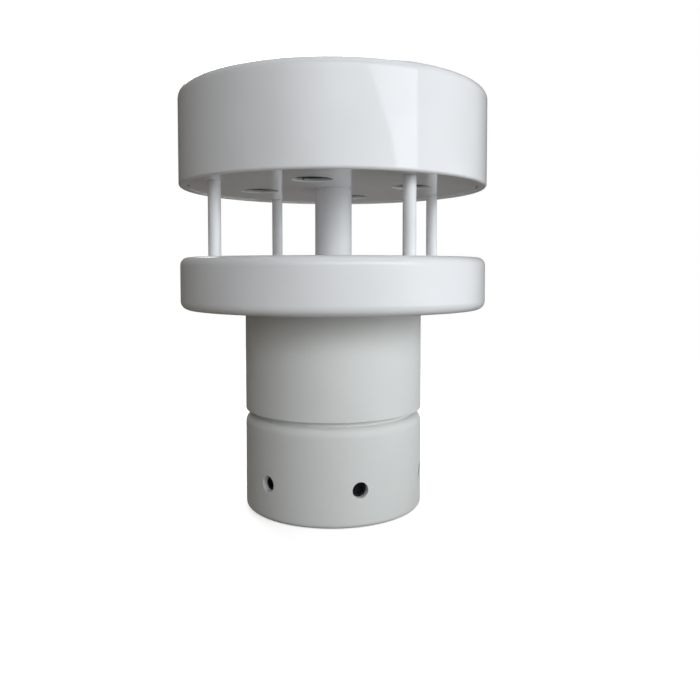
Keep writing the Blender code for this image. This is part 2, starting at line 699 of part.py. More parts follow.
def transducers():
    """Each can has a shallow dish in its lower face to send the sound down, in a rubber sleeve."""
    dish = TRANSDUCER_RADIUS - TRANSDUCER_RIM
    outline = [
        (0, TRANSDUCER_BOTTOM + TRANSDUCER_DISH),
        (dish, TRANSDUCER_BOTTOM + TRANSDUCER_DISH),
        (dish, TRANSDUCER_BOTTOM),
        (TRANSDUCER_RADIUS, TRANSDUCER_BOTTOM),
        (TRANSDUCER_RADIUS, TRANSDUCER_TOP),
        (0, TRANSDUCER_TOP),
    ]
    sleeve_bottom = HEAD_PLATE_BOTTOM + OPENING_LIP + GAP
    for number, position in enumerate(transducer_places(), 1):
        place(f"transducer_{number}", spun(outline, SMALL_SIDES), "transducer_can", position)
        sleeve = ring(TRANSDUCER_RADIUS + GAP, SLEEVE_RADIUS, sleeve_bottom, SLEEVE_TOP, SMALL_SIDES)
        place(f"transducer_sleeve_{number}", sleeve, "black_rubber", position)


def transducer_retainer():
    """The carrier that the tube's upper nut presses on the transducers, with pegs for the head board."""
    shape = ring(TUBE_END_HOLE, RETAINER_RADIUS, RETAINER_BOTTOM, RETAINER_TOP, INNER_SIDES)
    retainer = place("transducer_retainer", shape, "white_nylon")
    board_top = HEAD_BOARD_BOTTOM + BOARD_THICKNESS
    foot = RETAINER_BOTTOM + RETAINER_THICKNESS / 2
    outline = peg_outline(foot, HEAD_BOARD_BOTTOM - GAP, RETAINER_POST_RADIUS, board_top)
    peg_angles = angles(4, POST_FIRST_ANGLE)
    for number, angle in enumerate(peg_angles, 1):
        position = on_circle(RETAINER_POST_CIRCLE, angle)
        join(retainer, place(f"retainer_peg_{number}", spun(outline, TINY_SIDES), position=position))
    hole = straight(LEAD_HOLE_RADIUS, RETAINER_BOTTOM - CUT_PAST, RETAINER_TOP + CUT_PAST)
    cut_round(retainer, "lead_hole", hole, transducer_places())
    board("head_board", HEAD_BOARD_RADIUS, HEAD_BOARD_BOTTOM, RETAINER_POST_CIRCLE, peg_angles)
    place("head_header", block(HEADER_SIZE, HEAD_HEADER_BOTTOM), "white_nylon")


def wire_harness():
    """The bundle of wires up the tube, from the main board's header to the head board's."""
    curve = bpy.data.curves.new("wire_harness", "CURVE")
    curve.dimensions = "3D"
    curve.bevel_depth = HARNESS_RADIUS * MM
    curve.bevel_resolution = 2
    curve.use_fill_caps = True
    spline = curve.splines.new("POLY")
    spline.points.add(HARNESS_POINTS - 1)
    low, high = MAIN_HEADER_TOP + GAP, HEAD_HEADER_BOTTOM - GAP
    for i, point in enumerate(spline.points):
        height = low + (high - low) * i / (HARNESS_POINTS - 1)
        point.co = (0, 0, height * MM, 1)
    curve.materials.append(finish("wire_grey"))
    bpy.context.scene.collection.objects.link(bpy.data.objects.new("wire_harness", curve))


def main():
    clear_scene()
    mounting_collar()
    grub_screws()
    neck_housing()
    neck_floor()
    cable_connector()
    connector_insert()
    main_board()
    board_components()
    neck_screws()
    reflector_base()
    reflector_disc()
    posts()
    center_tube()
    head_plate()
    head_cap()
    transducers()
    transducer_retainer()
    wire_harness()


main()
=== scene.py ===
"""Ultrasonic wind sensor: the fine surfaces, finishes and studio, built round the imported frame.

Every piece takes its place from the frame's boxes. Lengths are in metres and angles in degrees, unless a
name says otherwise. The pieces are turned from outlines of (radius, height, rounding) corners, with the
rounding left out where a corner is sharp.
"""

import json
import math

import bmesh
import bpy
from bpy.props import FloatProperty, FloatVectorProperty, IntProperty, PointerProperty
from mathutils import Matrix, Vector


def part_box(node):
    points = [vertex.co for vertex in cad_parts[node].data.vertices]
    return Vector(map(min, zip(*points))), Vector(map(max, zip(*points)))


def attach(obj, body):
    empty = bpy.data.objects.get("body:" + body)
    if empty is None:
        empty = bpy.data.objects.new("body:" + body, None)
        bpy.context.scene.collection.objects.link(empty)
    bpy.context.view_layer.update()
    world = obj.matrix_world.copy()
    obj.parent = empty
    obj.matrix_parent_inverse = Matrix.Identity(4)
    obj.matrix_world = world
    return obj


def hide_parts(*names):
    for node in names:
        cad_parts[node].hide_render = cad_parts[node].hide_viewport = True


bl_info = {
    "name": "Ultrasonic wind sensor",
    "version": (1, 0, 0),
    "blender": (4, 5, 0),
    "location": "3D View > Sidebar > Wind sensor",
    "description": "Builds the pieces, finishes and studio of an ultrasonic wind sensor",
    "category": "Add Mesh",
}

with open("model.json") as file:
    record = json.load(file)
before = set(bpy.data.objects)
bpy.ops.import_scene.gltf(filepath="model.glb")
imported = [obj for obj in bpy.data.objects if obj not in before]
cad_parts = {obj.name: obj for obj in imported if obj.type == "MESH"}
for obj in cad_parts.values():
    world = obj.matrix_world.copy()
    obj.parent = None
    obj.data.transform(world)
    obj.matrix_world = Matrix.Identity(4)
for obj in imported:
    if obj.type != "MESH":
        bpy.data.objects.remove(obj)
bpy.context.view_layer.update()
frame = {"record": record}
RECORD = frame["record"]
SLOT_OF = {part["node"]: part["material_slot"] for part in RECORD["subparts"]}
BODY_OF = {node: body for body, nodes in RECORD["behaviour"]["bodies"].items() for node in nodes}
MOUNT_HEIGHT = {mount["name"]: mount["pos_m"][2] for mount in RECORD["mounts"]}
MAIN_BODY = BODY_OF["mounting_collar"]

MM = 0.001
WELD = 1e-6
RING_REACH = 2e-6
SUPPORT = 1.15
SHARP_ANGLE = 35.0
CUT_PAST = 2 * MM
UPRIGHT = Matrix.Identity(4)
SCREW_CLEARANCE = 1.7 * MM
TUBE_END_CLEARANCE = 5.3 * MM
WIRE_WAY = 9.5 * MM
MIDDLE_HEIGHT = 0.08


class Extent:
    """Where a node of the frame is: its middle, its radius, and how far down and up it goes."""

    def __init__(self, node):
        low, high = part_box(node)
        self.middle = (low + high) / 2
        self.size = high - low
        self.radius = self.size.x / 2
        self.bottom = low.z
        self.top = high.z


# ---------------------------------------------------------------- settings


def quantity(name, description, default, **more):
    return FloatProperty(name=name, description=description, default=default, **more)


def length(name, description, default):
    return quantity(name, description, default, min=0.0, unit="LENGTH", precision=5)


def degrees(name, description, default):
    return quantity(name, description, math.radians(default), subtype="ANGLE")


def colour(name, description, default):
    return FloatVectorProperty(
        name=name, description=description, default=default, subtype="COLOR", size=3, min=0.0, max=1.0
    )


def count(name, description, default):
    return IntProperty(name=name, description=description, default=default, min=6, max=512)


class SensorSizes(bpy.types.PropertyGroup):
    """Sizes that the frame's boxes don't give."""

    big_sides: count("Big sides", "Sides of the head, reflector, neck and collar", 160)
    tube_sides: count("Tube sides", "Sides of the tube, posts, transducers and connector", 64)
    small_sides: count("Small sides", "Sides of screws, nuts and pegs", 32)
    round_steps: count("Steps in a rounding", "Segments of each rounded edge", 6)
    shell: length("Shell", "Wall of the head cap and top of the reflector disc", 0.0030)
    reflector_wall: length("Reflector wall", "Thickness of the reflector disc's rim", 0.0030)
    head_top_round: length("Head top rounding", "Upper edge of the head cap", 0.0026)
    head_lip_round: length("Head lip rounding", "Lower outer edge of the head cap", 0.0009)
    reflector_top_round: length("Reflector top rounding", "Upper edge of the reflector disc", 0.0026)
    reflector_foot_round: length("Reflector foot rounding", "Lower edge of the reflector disc", 0.0028)
    collar_lip_round: length("Collar lip rounding", "Edge of the collar below the groove", 0.0028)
    collar_foot_round: length("Collar foot rounding", "Lower outer edge of the collar", 0.0014)
    neck_edge_round: length("Neck edge rounding", "Lower edge of the neck, above the groove", 0.0004)
    small_round: length("Small rounding", "Edges of moulded pieces that aren't sharp", 0.0003)
    groove_depth: length("Groove depth", "How far the groove between collar and neck goes in", 0.00285)
    groove_top_gap: length("Groove shoulder", "From the neck's lower edge to the collar's shoulder", 0.0001)
    groove_height: length("Groove height", "Height of the groove between collar and neck", 0.0016)
    socket_bore: length("Socket bore", "Radius of the pole socket", 0.0245)
    stop_bore: length("Stop bore", "Radius of the opening in the pole stop", 0.0210)
    spigot_radius: length("Spigot radius", "Radius of the threaded spigot inside the neck", 0.0262)
    socket_chamfer: length("Socket chamfer", "Chamfer at the mouth of the pole socket", 0.0008)
    grub_hole: length("Grub hole", "Radius of the holes for the grub screws", 0.0025)
    grub_countersink: length("Grub countersink", "Width of the chamfer at each grub screw hole", 0.0002)
    seat_depth: length("Seat depth", "Depth of the recesses that the posts and the tube stand in", 0.0010)
    seat_fit: length("Seat fit", "Gap round a post or the tube in its seat", 0.00008)
    opening_radius: length("Opening radius", "Radius of the openings for the transducers", 0.0062)
    opening_lip: length("Opening lip", "Thickness of the lip that each transducer looks through", 0.0010)
    opening_round: length("Opening rounding", "Rounded mouth of each opening", 0.0005)


class SensorColours(bpy.types.PropertyGroup):
    """Base colours of the finishes."""

    head_white: colour("Head", "Glossy white of the head", (0.870, 0.875, 0.880))
    reflector_white: colour("Reflector", "Glossy white of the reflector disc", (0.875, 0.880, 0.885))
    body_grey: colour("Neck and collar", "Matte light grey of the neck and the collar", (0.765, 0.775, 0.750))
    enamel: colour("Posts and tube", "White enamel of the posts and the tube", (0.870, 0.875, 0.880))
    black_steel: colour("Grub screws", "Blackened steel", (0.028, 0.026, 0.030))
    steel: colour("Fasteners", "Stainless steel", (0.600, 0.600, 0.590))
    brass: colour("Inserts", "Turned brass", (0.720, 0.520, 0.230))
    nickel: colour("Connector", "Nickel plating", (0.640, 0.630, 0.600))
    transducer: colour("Transducers", "Dark anodised can", (0.050, 0.048, 0.050))
    rubber: colour("Seals", "Black rubber", (0.022, 0.022, 0.023))
    board: colour("Boards", "Green solder mask", (0.012, 0.120, 0.050))
    component: colour("Components", "Black moulded component bodies", (0.020, 0.020, 0.021))
    nylon: colour("Nylon pieces", "Natural nylon", (0.720, 0.700, 0.640))
    jacket: colour("Wires", "Grey wire insulation", (0.180, 0.180, 0.190))


class StudioSettings(bpy.types.PropertyGroup):
    """Camera and light."""

    camera_azimuth: degrees("Camera azimuth", "Direction of the camera from -Y towards +X", 12.65)
    camera_distance: length("Camera distance", "From the camera to the sensor's axis", 0.24012)
    camera_height: length("Camera height", "Height of the camera above the floor", 0.07978)
    camera_offset: length("Camera offset", "How far the camera stands to its right of the axis", 0.0057)
    camera_tilt: degrees("Camera tilt", "How far the camera looks down", 2.73)
    lens_mm: quantity("Focal length", "Focal length on a 36 mm film", 35.83)
    frame_shift: quantity("Frame shift", "Upright shift of the frame", -0.0673)
    screen_light: quantity("Screen", "Radiance of the curved screen", 2.45)
    window_light: quantity("Window", "Radiance of the window in the screen", 4.5)
    top_light: quantity("Top light", "Power of the light overhead in watts", 1.2)
    back_light: quantity("Back light", "Power of the light behind in watts", 11.0)
    room_light: quantity("Room", "Brightness of the room round the sensor", 0.11)
    floor_glow: quantity("Floor glow", "Least brightness of the floor to the camera", 0.62)
    floor_pale: colour("Floor", "Colour of the pale floor", (0.80, 0.79, 0.78))
    floor_bounce: colour("Floor bounce", "Colour of the light that the floor gives back", (0.18, 0.16, 0.14))
    cool_light: colour("Cool light", "Colour of the screen on its right", (0.92, 0.96, 1.00))
    warm_light: colour("Warm light", "Colour of the screen on its left", (1.00, 0.80, 0.60))


def sizes():
    return bpy.context.scene.sensor_sizes


def colours():
    return bpy.context.scene.sensor_colours


# ---------------------------------------------------------------- shapes


def on_circle(radius, angle, height=0.0):
    turn = math.radians(angle)
    return Vector((radius * math.cos(turn), radius * math.sin(turn), height))


def upright(place):
    """Puts an upright shape at the place's x and y. Its heights stay the world's."""
    return Matrix.Translation((place[0], place[1], 0))


def radial(radius, angle, height):
    """Lays an upright shape down so that it points out from the axis, with its zero at the radius."""
    turned_round = Matrix.Rotation(math.radians(angle), 4, "Z")
    laid_down = Matrix.Rotation(math.radians(90), 4, "Y")
    return Matrix.Translation(on_circle(radius, angle, height)) @ turned_round @ laid_down


def bearing(place):
    return math.degrees(math.atan2(place[1], place[0]))


def supported(corners):
    """The outline with a point added past each rounding, which keeps the faces beside it flat."""
    outline = []
    total = len(corners)
    for index, (radius, height, rounding) in enumerate(corners):
        here = Vector((radius, height))
        before, after = corners[index - 1], corners[(index + 1) % total]
        sides = []
        for other in (before, after):
            there = Vector(other[:2])
            gap = (there - here).length
            if rounding and gap > SUPPORT * (rounding + other[2]):
                sides.append(here + (there - here) * (SUPPORT * rounding / gap))
            else:
                sides.append(None)
        outline += [point for point in (sides[0], here, sides[1]) if point is not None]
    return outline


def round_ring(shape, radius, height, rounding):
    """Rounds the edge that runs round the shape at this radius and height."""

    def on_ring(vert):
        reach = math.hypot(vert.co.x, vert.co.y)
        return abs(reach - radius) < RING_REACH and abs(vert.co.z - height) < RING_REACH

    ring = [edge for edge in shape.edges if all(on_ring(vert) for vert in edge.verts)]
    bmesh.ops.bevel(
        shape,
        geom=ring,
        offset=rounding,
        offset_type="OFFSET",
        segments=sizes().round_steps,
        profile=0.5,
        affect="EDGES",
        clamp_overlap=False,
        material=-1,
    )


def turned(corners, sides):
    """A shape spun round Z. The outline closes on itself, unless both of its ends are on the axis."""
    corners = [(*corner, 0.0)[:3] for corner in corners]
    shape = bmesh.new()
    verts = [shape.verts.new((point[0], 0, point[1])) for point in supported(corners)]
    on_axis = corners[0][0] == 0 and corners[-1][0] == 0
    followers = verts[1:] if on_axis else verts[1:] + verts[:1]
    edges = [shape.edges.new(pair) for pair in zip(verts, followers)]
    bmesh.ops.spin(
        shape,
        geom=verts + edges,
        cent=(0, 0, 0),
        axis=(0, 0, 1),
        angle=math.tau,
        steps=sides,
        use_merge=True,
    )
    bmesh.ops.remove_doubles(shape, verts=shape.verts, dist=WELD)
    bmesh.ops.recalc_face_normals(shape, faces=shape.faces)
    for radius, height, rounding in corners:
        if rounding:
            round_ring(shape, radius, height, rounding)
    return shape


def thread(radius, bottom, top, pitch, depth):
    """Corners of a screw thread's outline, from bottom to top."""
    turns = max(1, round((top - bottom) / pitch))
    step = (top - bottom) / turns
    corners = []
    for index in range(turns):
        foot = bottom + step * index
        corners += [(radius - depth, foot), (radius, foot + step * 0.4), (radius, foot + step * 0.6)]
    return [*corners, (radius - depth, top)]


def prism(outline, bottom, top, rounding=0.0):
    """An upright piece with a flat outline of (x, y) points, its upper and lower edges rounded."""
    shape = bmesh.new()
    floor = shape.faces.new([shape.verts.new((x, y, bottom)) for x, y in outline])
    raised = bmesh.ops.extrude_face_region(shape, geom=[floor])["geom"]
    lifted = [part for part in raised if isinstance(part, bmesh.types.BMVert)]
    bmesh.ops.translate(shape, verts=lifted, vec=(0, 0, top - bottom))
    bmesh.ops.recalc_face_normals(shape, faces=shape.faces)
    if rounding:
        level = [edge for edge in shape.edges if abs(edge.verts[0].co.z - edge.verts[1].co.z) < WELD]
        bmesh.ops.bevel(
            shape, geom=level, offset=rounding, segments=3, profile=0.5, affect="EDGES", material=-1
        )
    return shape


def hexagon(flats):
    """Flat outline of a nut or a socket, measured across its flats."""
    sides = 6
    corner = flats / 2 / math.cos(math.pi / sides)
    return [tuple(on_circle(corner, 360.0 * index / sides)[:2]) for index in range(sides)]


def box_shape(size, bottom, rounding=0.0):
    half_x, half_y = size[0] / 2, size[1] / 2
    outline = [(-half_x, -half_y), (half_x, -half_y), (half_x, half_y), (-half_x, half_y)]
    return prism(outline, bottom, bottom + size[2], rounding)


def moved(shape, matrix):
    bmesh.ops.transform(shape, matrix=matrix, verts=shape.verts)
    return shape


def copies(shape, matrices):
    """One mesh that holds a copy of the shape at each of the places."""
    single = bpy.data.meshes.new("single")
    shape.to_mesh(single)
    shape.free()
    gathered = bmesh.new()
    for matrix in matrices:
        placed = single.copy()
        placed.transform(matrix)
        gathered.from_mesh(placed)
        bpy.data.meshes.remove(placed)
    bpy.data.meshes.remove(single)
    return gathered


def object_of(name, shape):
    mesh = bpy.data.meshes.new(name)
    shape.to_mesh(mesh)
    shape.free()
    obj = bpy.data.objects.new(name, mesh)
    bpy.context.scene.collection.objects.link(obj)
    return obj


def carved(shape, tools):
    """The shape after each (operation, tool) has cut it or been joined to it."""
    obj = object_of("carving", shape)
    helpers = [obj]
    for operation, tool in tools:
        helper = object_of("tool", tool)
        modifier = obj.modifiers.new(operation, "BOOLEAN")
        modifier.operation = operation
        modifier.solver = "EXACT"
        modifier.object = helper
        helpers.append(helper)
    result = bmesh.new()
    result.from_object(obj, bpy.context.evaluated_depsgraph_get())
    for helper in helpers:
        mesh = helper.data
        bpy.data.objects.remove(helper)
        bpy.data.meshes.remove(mesh)
    if not result.faces:
        raise RuntimeError("a carved piece has no faces left")
    bmesh.ops.dissolve_degenerate(result, dist=WELD, edges=result.edges)
    return result


def hole(radius, bottom, top, sides, mouth=0.0, mouth_at=None):
    """A round cutter. With a mouth, it widens down to the height mouth_at, and stays wide below it."""
    if not mouth:
        return turned([(0, bottom), (radius, bottom), (radius, top), (0, top)], sides)
    steps = sizes().round_steps
    flare = []
    for index in range(steps + 1):
        turn = math.radians(90.0 * index / steps)
        flare.append((radius + mouth * (1 - math.sin(turn)), mouth * (1 - math.cos(turn))))
    rim = [(reach, mouth_at + rise) for reach, rise in flare]
    return turned([(0, bottom), (radius + mouth, bottom), *rim, (radius, top), (0, top)], sides)


def stepped_hole(lower, upper, bottom, step, top, sides):
    corners = [(0, bottom), (lower, bottom), (lower, step), (upper, step), (upper, top), (0, top)]
    return turned(corners, sides)


def mark_turning(mesh, axis):
    """Stores how far along the lathe's cut each point lies, which the metals read for their tool marks."""
    inward = axis.inverted()
    attribute = mesh.attributes.new("turning", "FLOAT", "POINT")
    for vert in mesh.vertices:
        local = inward @ vert.co
        attribute.data[vert.index].value = local.z + math.hypot(local.x, local.y)


def finish_piece(obj, slot, body, nodes, axis=UPRIGHT):
    """Gives a piece its shading, finish and body, and hides the nodes that it stands for."""
    mesh = obj.data
    mesh.shade_smooth()
    mesh.set_sharp_from_angle(angle=math.radians(SHARP_ANGLE))
    mark_turning(mesh, axis)
    mesh.materials.clear()
    mesh.materials.append(finish(slot))
    normals = obj.modifiers.new("Even normals", "WEIGHTED_NORMAL")
    normals.keep_sharp = True
    if nodes:
        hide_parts(*nodes)
    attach(obj, body)


def piece(node, shape, axis=UPRIGHT):
    """The visible piece that stands for a node of the frame."""
    obj = object_of(f"sensor_{node}", shape)
    finish_piece(obj, SLOT_OF[node], BODY_OF[node], [node], axis)


def detail(name, shape, slot, axis=UPRIGHT):
    """A visible piece on the sensor's body that the frame has no node for."""
    finish_piece(object_of(f"sensor_{name}", shape), slot, MAIN_BODY, [], axis)


def numbered(stem):
    """The nodes of a repeated piece, in order."""
    return sorted(node for node in SLOT_OF if node.startswith(stem) and node[len(stem) :].isdigit())


def middles(stem):
    return [Extent(node).middle for node in numbered(stem)]


# ---------------------------------------------------------------- finishes


class Sheet:
    """A material's or group's node tree, with short ways to add and join nodes."""

    def __init__(self, tree):
        self.tree = tree

    def add(self, kind, **values):
        node = self.tree.nodes.new(kind)
        for name, value in values.items():
            setattr(node, name, value)
        return node

    def join(self, output, target):
        self.tree.links.new(output, target)

    def maths(self, operation, first, second):
        """A Math node. Either side is a socket or a number."""
        node = self.add("ShaderNodeMath", operation=operation)
        for index, value in enumerate((first, second)):
            if isinstance(value, bpy.types.NodeSocket):
                self.join(value, node.inputs[index])
            else:
                node.inputs[index].default_value = value
        return node.outputs[0]

    def noise(self, coordinate, scale, detail_steps=2.0, dimensions="3D"):
        node = self.add("ShaderNodeTexNoise", noise_dimensions=dimensions)
        node.inputs["Detail"].default_value = detail_steps
        self.join(coordinate, node.inputs["W" if dimensions == "1D" else "Vector"])
        if isinstance(scale, bpy.types.NodeSocket):
            self.join(scale, node.inputs["Scale"])
        else:
            node.inputs["Scale"].default_value = scale
        return node.outputs["Fac"]

    def ramp(self, value, low, high, to_low=0.0, to_high=1.0):
        node = self.add("ShaderNodeMapRange")
        self.join(value, node.inputs["Value"])
        for name, number in zip(("From Min", "From Max", "To Min", "To Max"), (low, high, to_low, to_high)):
            node.inputs[name].default_value = number
        return node.outputs["Result"]

    def mix(self, factor, first, second):
        node = self.add("ShaderNodeMix", data_type="RGBA")
        self.join(factor, node.inputs["Factor"])
        for name, value in (("A", first), ("B", second)):
            target = [socket for socket in node.inputs if socket.name == name and socket.type == "RGBA"][0]
            if isinstance(value, bpy.types.NodeSocket):
                self.join(value, target)
            else:
                target.default_value = (*value, 1.0)
        return [socket for socket in node.outputs if socket.type == "RGBA"][0]

    def object_place(self):
        return self.add("ShaderNodeTexCoord").outputs["Object"]


def node_group(name, inputs, outputs, build):
    """A shader node group of that name, built the first time. Sockets are (name, type, default)."""
    group = bpy.data.node_groups.get(name)
    if group:
        return group
    group = bpy.data.node_groups.new(name, "ShaderNodeTree")
    for label, kind, default in inputs:
        socket = group.interface.new_socket(name=label, in_out="INPUT", socket_type=f"NodeSocket{kind}")
        socket.default_value = default
    for label, kind in outputs:
        group.interface.new_socket(name=label, in_out="OUTPUT", socket_type=f"NodeSocket{kind}")
    sheet = Sheet(group)
    start = sheet.add("NodeGroupInput")
    end = sheet.add("NodeGroupOutput")
    build(sheet, start.outputs, end.inputs)
    return group


def build_tone(sheet, given, out):
    """Slow patches, as in any large moulding, between the colour and a shade of it."""
    patches = sheet.ramp(sheet.noise(sheet.object_place(), given["Scale"]), 0.38, 0.66)
    sheet.join(patches, out["Patches"])
    amount = sheet.maths("MULTIPLY", patches, given["Amount"])
    sheet.join(sheet.mix(amount, given["Colour"], given["Shade"]), out["Colour"])


def tone_group():
    inputs = [
        ("Colour", "Color", (0.8, 0.8, 0.8, 1.0)),
        ("Shade", "Color", (0.6, 0.6, 0.6, 1.0)),
        ("Scale", "Float", 40.0),
        ("Amount", "Float", 0.5),
    ]
    return node_group("Moulded tone", inputs, [("Colour", "Color"), ("Patches", "Float")], build_tone)


def build_grain(sheet, given, out):
    """Height of a fine even texture, with a coarser one under it."""
    place = sheet.object_place()
    fine = sheet.noise(place, given["Scale"], 3.0)
    coarse = sheet.noise(place, sheet.maths("MULTIPLY", given["Scale"], 0.21))
    height = sheet.maths("ADD", fine, sheet.maths("MULTIPLY", coarse, given["Coarse"]))
    sheet.join(height, out["Height"])
    sheet.join(sheet.ramp(fine, 0.40, 0.62), out["Specks"])


def grain_group():
    inputs = [("Scale", "Float", 3000.0), ("Coarse", "Float", 0.5)]
    return node_group("Fine grain", inputs, [("Height", "Float"), ("Specks", "Float")], build_grain)


def build_turning(sheet, given, out):
    """Fine rings left by a cutting tool, along the piece's own turning attribute."""
    along = sheet.add("ShaderNodeAttribute", attribute_name="turning").outputs["Fac"]
    rings = sheet.noise(along, given["Scale"], 3.0, "1D")
    sheet.join(rings, out["Height"])
    sheet.join(sheet.ramp(rings, 0.3, 0.7), out["Rings"])


def turning_group():
    outputs = [("Height", "Float"), ("Rings", "Float")]
    return node_group("Turning marks", [("Scale", "Float", 9000.0)], outputs, build_turning)


def build_dust(sheet, given, out):
    """A thin film of dust on what faces up."""
    normal = sheet.add("ShaderNodeNewGeometry").outputs["Normal"]
    split = sheet.add("ShaderNodeSeparateXYZ")
    sheet.join(normal, split.inputs[0])
    facing_up = sheet.ramp(split.outputs["Z"], 0.55, 1.0)
    patches = sheet.ramp(sheet.noise(sheet.object_place(), given["Scale"], 4.0), 0.42, 0.70)
    film = sheet.maths("MULTIPLY", sheet.maths("MULTIPLY", facing_up, patches), given["Amount"])
    sheet.join(film, out["Film"])
    sheet.join(sheet.mix(film, given["Colour"], given["Dust"]), out["Colour"])


def dust_group():
    inputs = [
        ("Colour", "Color", (0.8, 0.8, 0.8, 1.0)),
        ("Dust", "Color", (0.55, 0.52, 0.47, 1.0)),
        ("Scale", "Float", 60.0),
        ("Amount", "Float", 0.1),
    ]
    return node_group("Settled dust", inputs, [("Colour", "Color"), ("Film", "Float")], build_dust)


def placed_group(sheet, group, **values):
    """A group node in a material, with its inputs set to numbers or colours."""
    node = sheet.add("ShaderNodeGroup", node_tree=group)
    for name, value in values.items():
        node.inputs[name].default_value = (*value, 1.0) if isinstance(value, tuple) else value
    return node


def new_material(name):
    material = bpy.data.materials.new(name)
    material.use_nodes = True
    sheet = Sheet(material.node_tree)
    return material, sheet, material.node_tree.nodes["Principled BSDF"]


def bump(sheet, shader, height, distance):
    node = sheet.add("ShaderNodeBump")
    node.inputs["Distance"].default_value = distance
    node.inputs["Strength"].default_value = 1.0
    sheet.join(height, node.inputs["Height"])
    sheet.join(node.outputs["Normal"], shader.inputs["Normal"])


def shaded(tone, amount):
    return tuple(part * amount for part in tone)


def moulded(name, tone, roughness, grain, depth, uneven=0.25, dust=0.0, shade=0.93):
    """A moulded or painted surface: slow patches of tone, fine grain, and dust on top."""
    material, sheet, shader = new_material(name)
    tone = tuple(tone)
    base = placed_group(sheet, tone_group(), Colour=tone, Shade=shaded(tone, shade), Scale=38.0, Amount=0.6)
    film = placed_group(sheet, dust_group(), Scale=90.0, Amount=dust)
    sheet.join(base.outputs["Colour"], film.inputs["Colour"])
    sheet.join(film.outputs["Colour"], shader.inputs["Base Color"])
    texture = placed_group(sheet, grain_group(), Scale=grain, Coarse=0.6)
    uneven_part = sheet.ramp(base.outputs["Patches"], 0.0, 1.0, roughness, roughness * (1 + uneven))
    sheet.join(sheet.maths("ADD", uneven_part, film.outputs["Film"]), shader.inputs["Roughness"])
    bump(sheet, shader, texture.outputs["Height"], depth)
    return material


def metal(name, tone, roughness, ring_scale, depth, metallic=1.0):
    """A turned metal: rings in its roughness and height, and slow patches of tone."""
    material, sheet, shader = new_material(name)
    tone = tuple(tone)
    base = placed_group(sheet, tone_group(), Colour=tone, Shade=shaded(tone, 0.75), Scale=260.0, Amount=0.5)
    rings = placed_group(sheet, turning_group(), Scale=ring_scale)
    sheet.join(base.outputs["Colour"], shader.inputs["Base Color"])
    uneven_part = sheet.ramp(rings.outputs["Rings"], 0.0, 1.0, roughness * 0.8, roughness * 1.35)
    sheet.join(uneven_part, shader.inputs["Roughness"])
    shader.inputs["Metallic"].default_value = metallic
    bump(sheet, shader, rings.outputs["Height"], depth)
    return material


def board_laminate(name, tone):
    """Solder mask with paler copper tracks and a grid of tinned vias under it."""
    material, sheet, shader = new_material(name)
    place = sheet.object_place()
    tracks = sheet.add("ShaderNodeTexBrick", offset=0.35, squash=1.6, squash_frequency=3)
    layout = {"Scale": 260.0, "Mortar Size": 0.055, "Brick Width": 1.7, "Row Height": 0.42}
    for label, value in layout.items():
        tracks.inputs[label].default_value = value
    sheet.join(place, tracks.inputs["Vector"])
    vias = sheet.add("ShaderNodeTexVoronoi", voronoi_dimensions="2D")
    vias.inputs["Scale"].default_value = 300.0
    vias.inputs["Randomness"].default_value = 0.35
    sheet.join(place, vias.inputs["Vector"])
    dots = sheet.maths("LESS_THAN", vias.outputs["Distance"], 0.16)
    tone = tuple(tone)
    masked = sheet.mix(tracks.outputs["Fac"], tone, tuple(min(1.0, part * 1.8 + 0.01) for part in tone))
    sheet.join(sheet.mix(dots, masked, (0.62, 0.60, 0.55)), shader.inputs["Base Color"])
    sheet.join(sheet.ramp(dots, 0.0, 1.0, 0.38, 0.25), shader.inputs["Roughness"])
    sheet.join(dots, shader.inputs["Metallic"])
    bump(sheet, shader, tracks.outputs["Fac"], 0.00003)
    return material


def make_finishes():
    tones = colours()
    gloss, satin = 0.06, 0.17
    return {
        "head_gloss": lambda name: moulded(name, tones.head_white, gloss, 420.0, 0.0000045, dust=0.05),
        "reflector_gloss": lambda name: moulded(
            name, tones.reflector_white, satin, 420.0, 0.000006, dust=0.06
        ),
        "body_matte": lambda name: moulded(name, tones.body_grey, 0.60, 3800.0, 0.00005, 0.12, 0.05, 0.94),
        "post_enamel": lambda name: moulded(name, tones.enamel, 0.20, 700.0, 0.000006),
        "transducer_can": lambda name: metal(name, tones.transducer, 0.42, 5200.0, 0.000015, 0.6),
        "grub_steel": lambda name: metal(name, tones.black_steel, 0.38, 4200.0, 0.00001, 0.9),
        "fastener_steel": lambda name: metal(name, tones.steel, 0.26, 6000.0, 0.000012),
        "insert_brass": lambda name: metal(name, tones.brass, 0.26, 5200.0, 0.000012),
        "connector_metal": lambda name: metal(name, tones.nickel, 0.20, 5200.0, 0.000008),
        "connector_plastic": lambda name: moulded(name, tones.component, 0.45, 2400.0, 0.00002),
        "seal_rubber": lambda name: moulded(name, tones.rubber, 0.70, 2600.0, 0.00003, 0.15),
        "component_plastic": lambda name: moulded(name, tones.component, 0.48, 5200.0, 0.00002),
        "white_nylon": lambda name: moulded(name, tones.nylon, 0.46, 1500.0, 0.00002),
        "wire_jacket": lambda name: moulded(name, tones.jacket, 0.52, 1200.0, 0.00002),
        "board_laminate": lambda name: board_laminate(name, tones.board),
    }


def finish(slot):
    """The material of a slot of the record, made the first time that it is asked for."""
    name = f"sensor_{slot}"
    material = bpy.data.materials.get(name)
    return material or make_finishes()[slot](name)


# ---------------------------------------------------------------- collar and neck


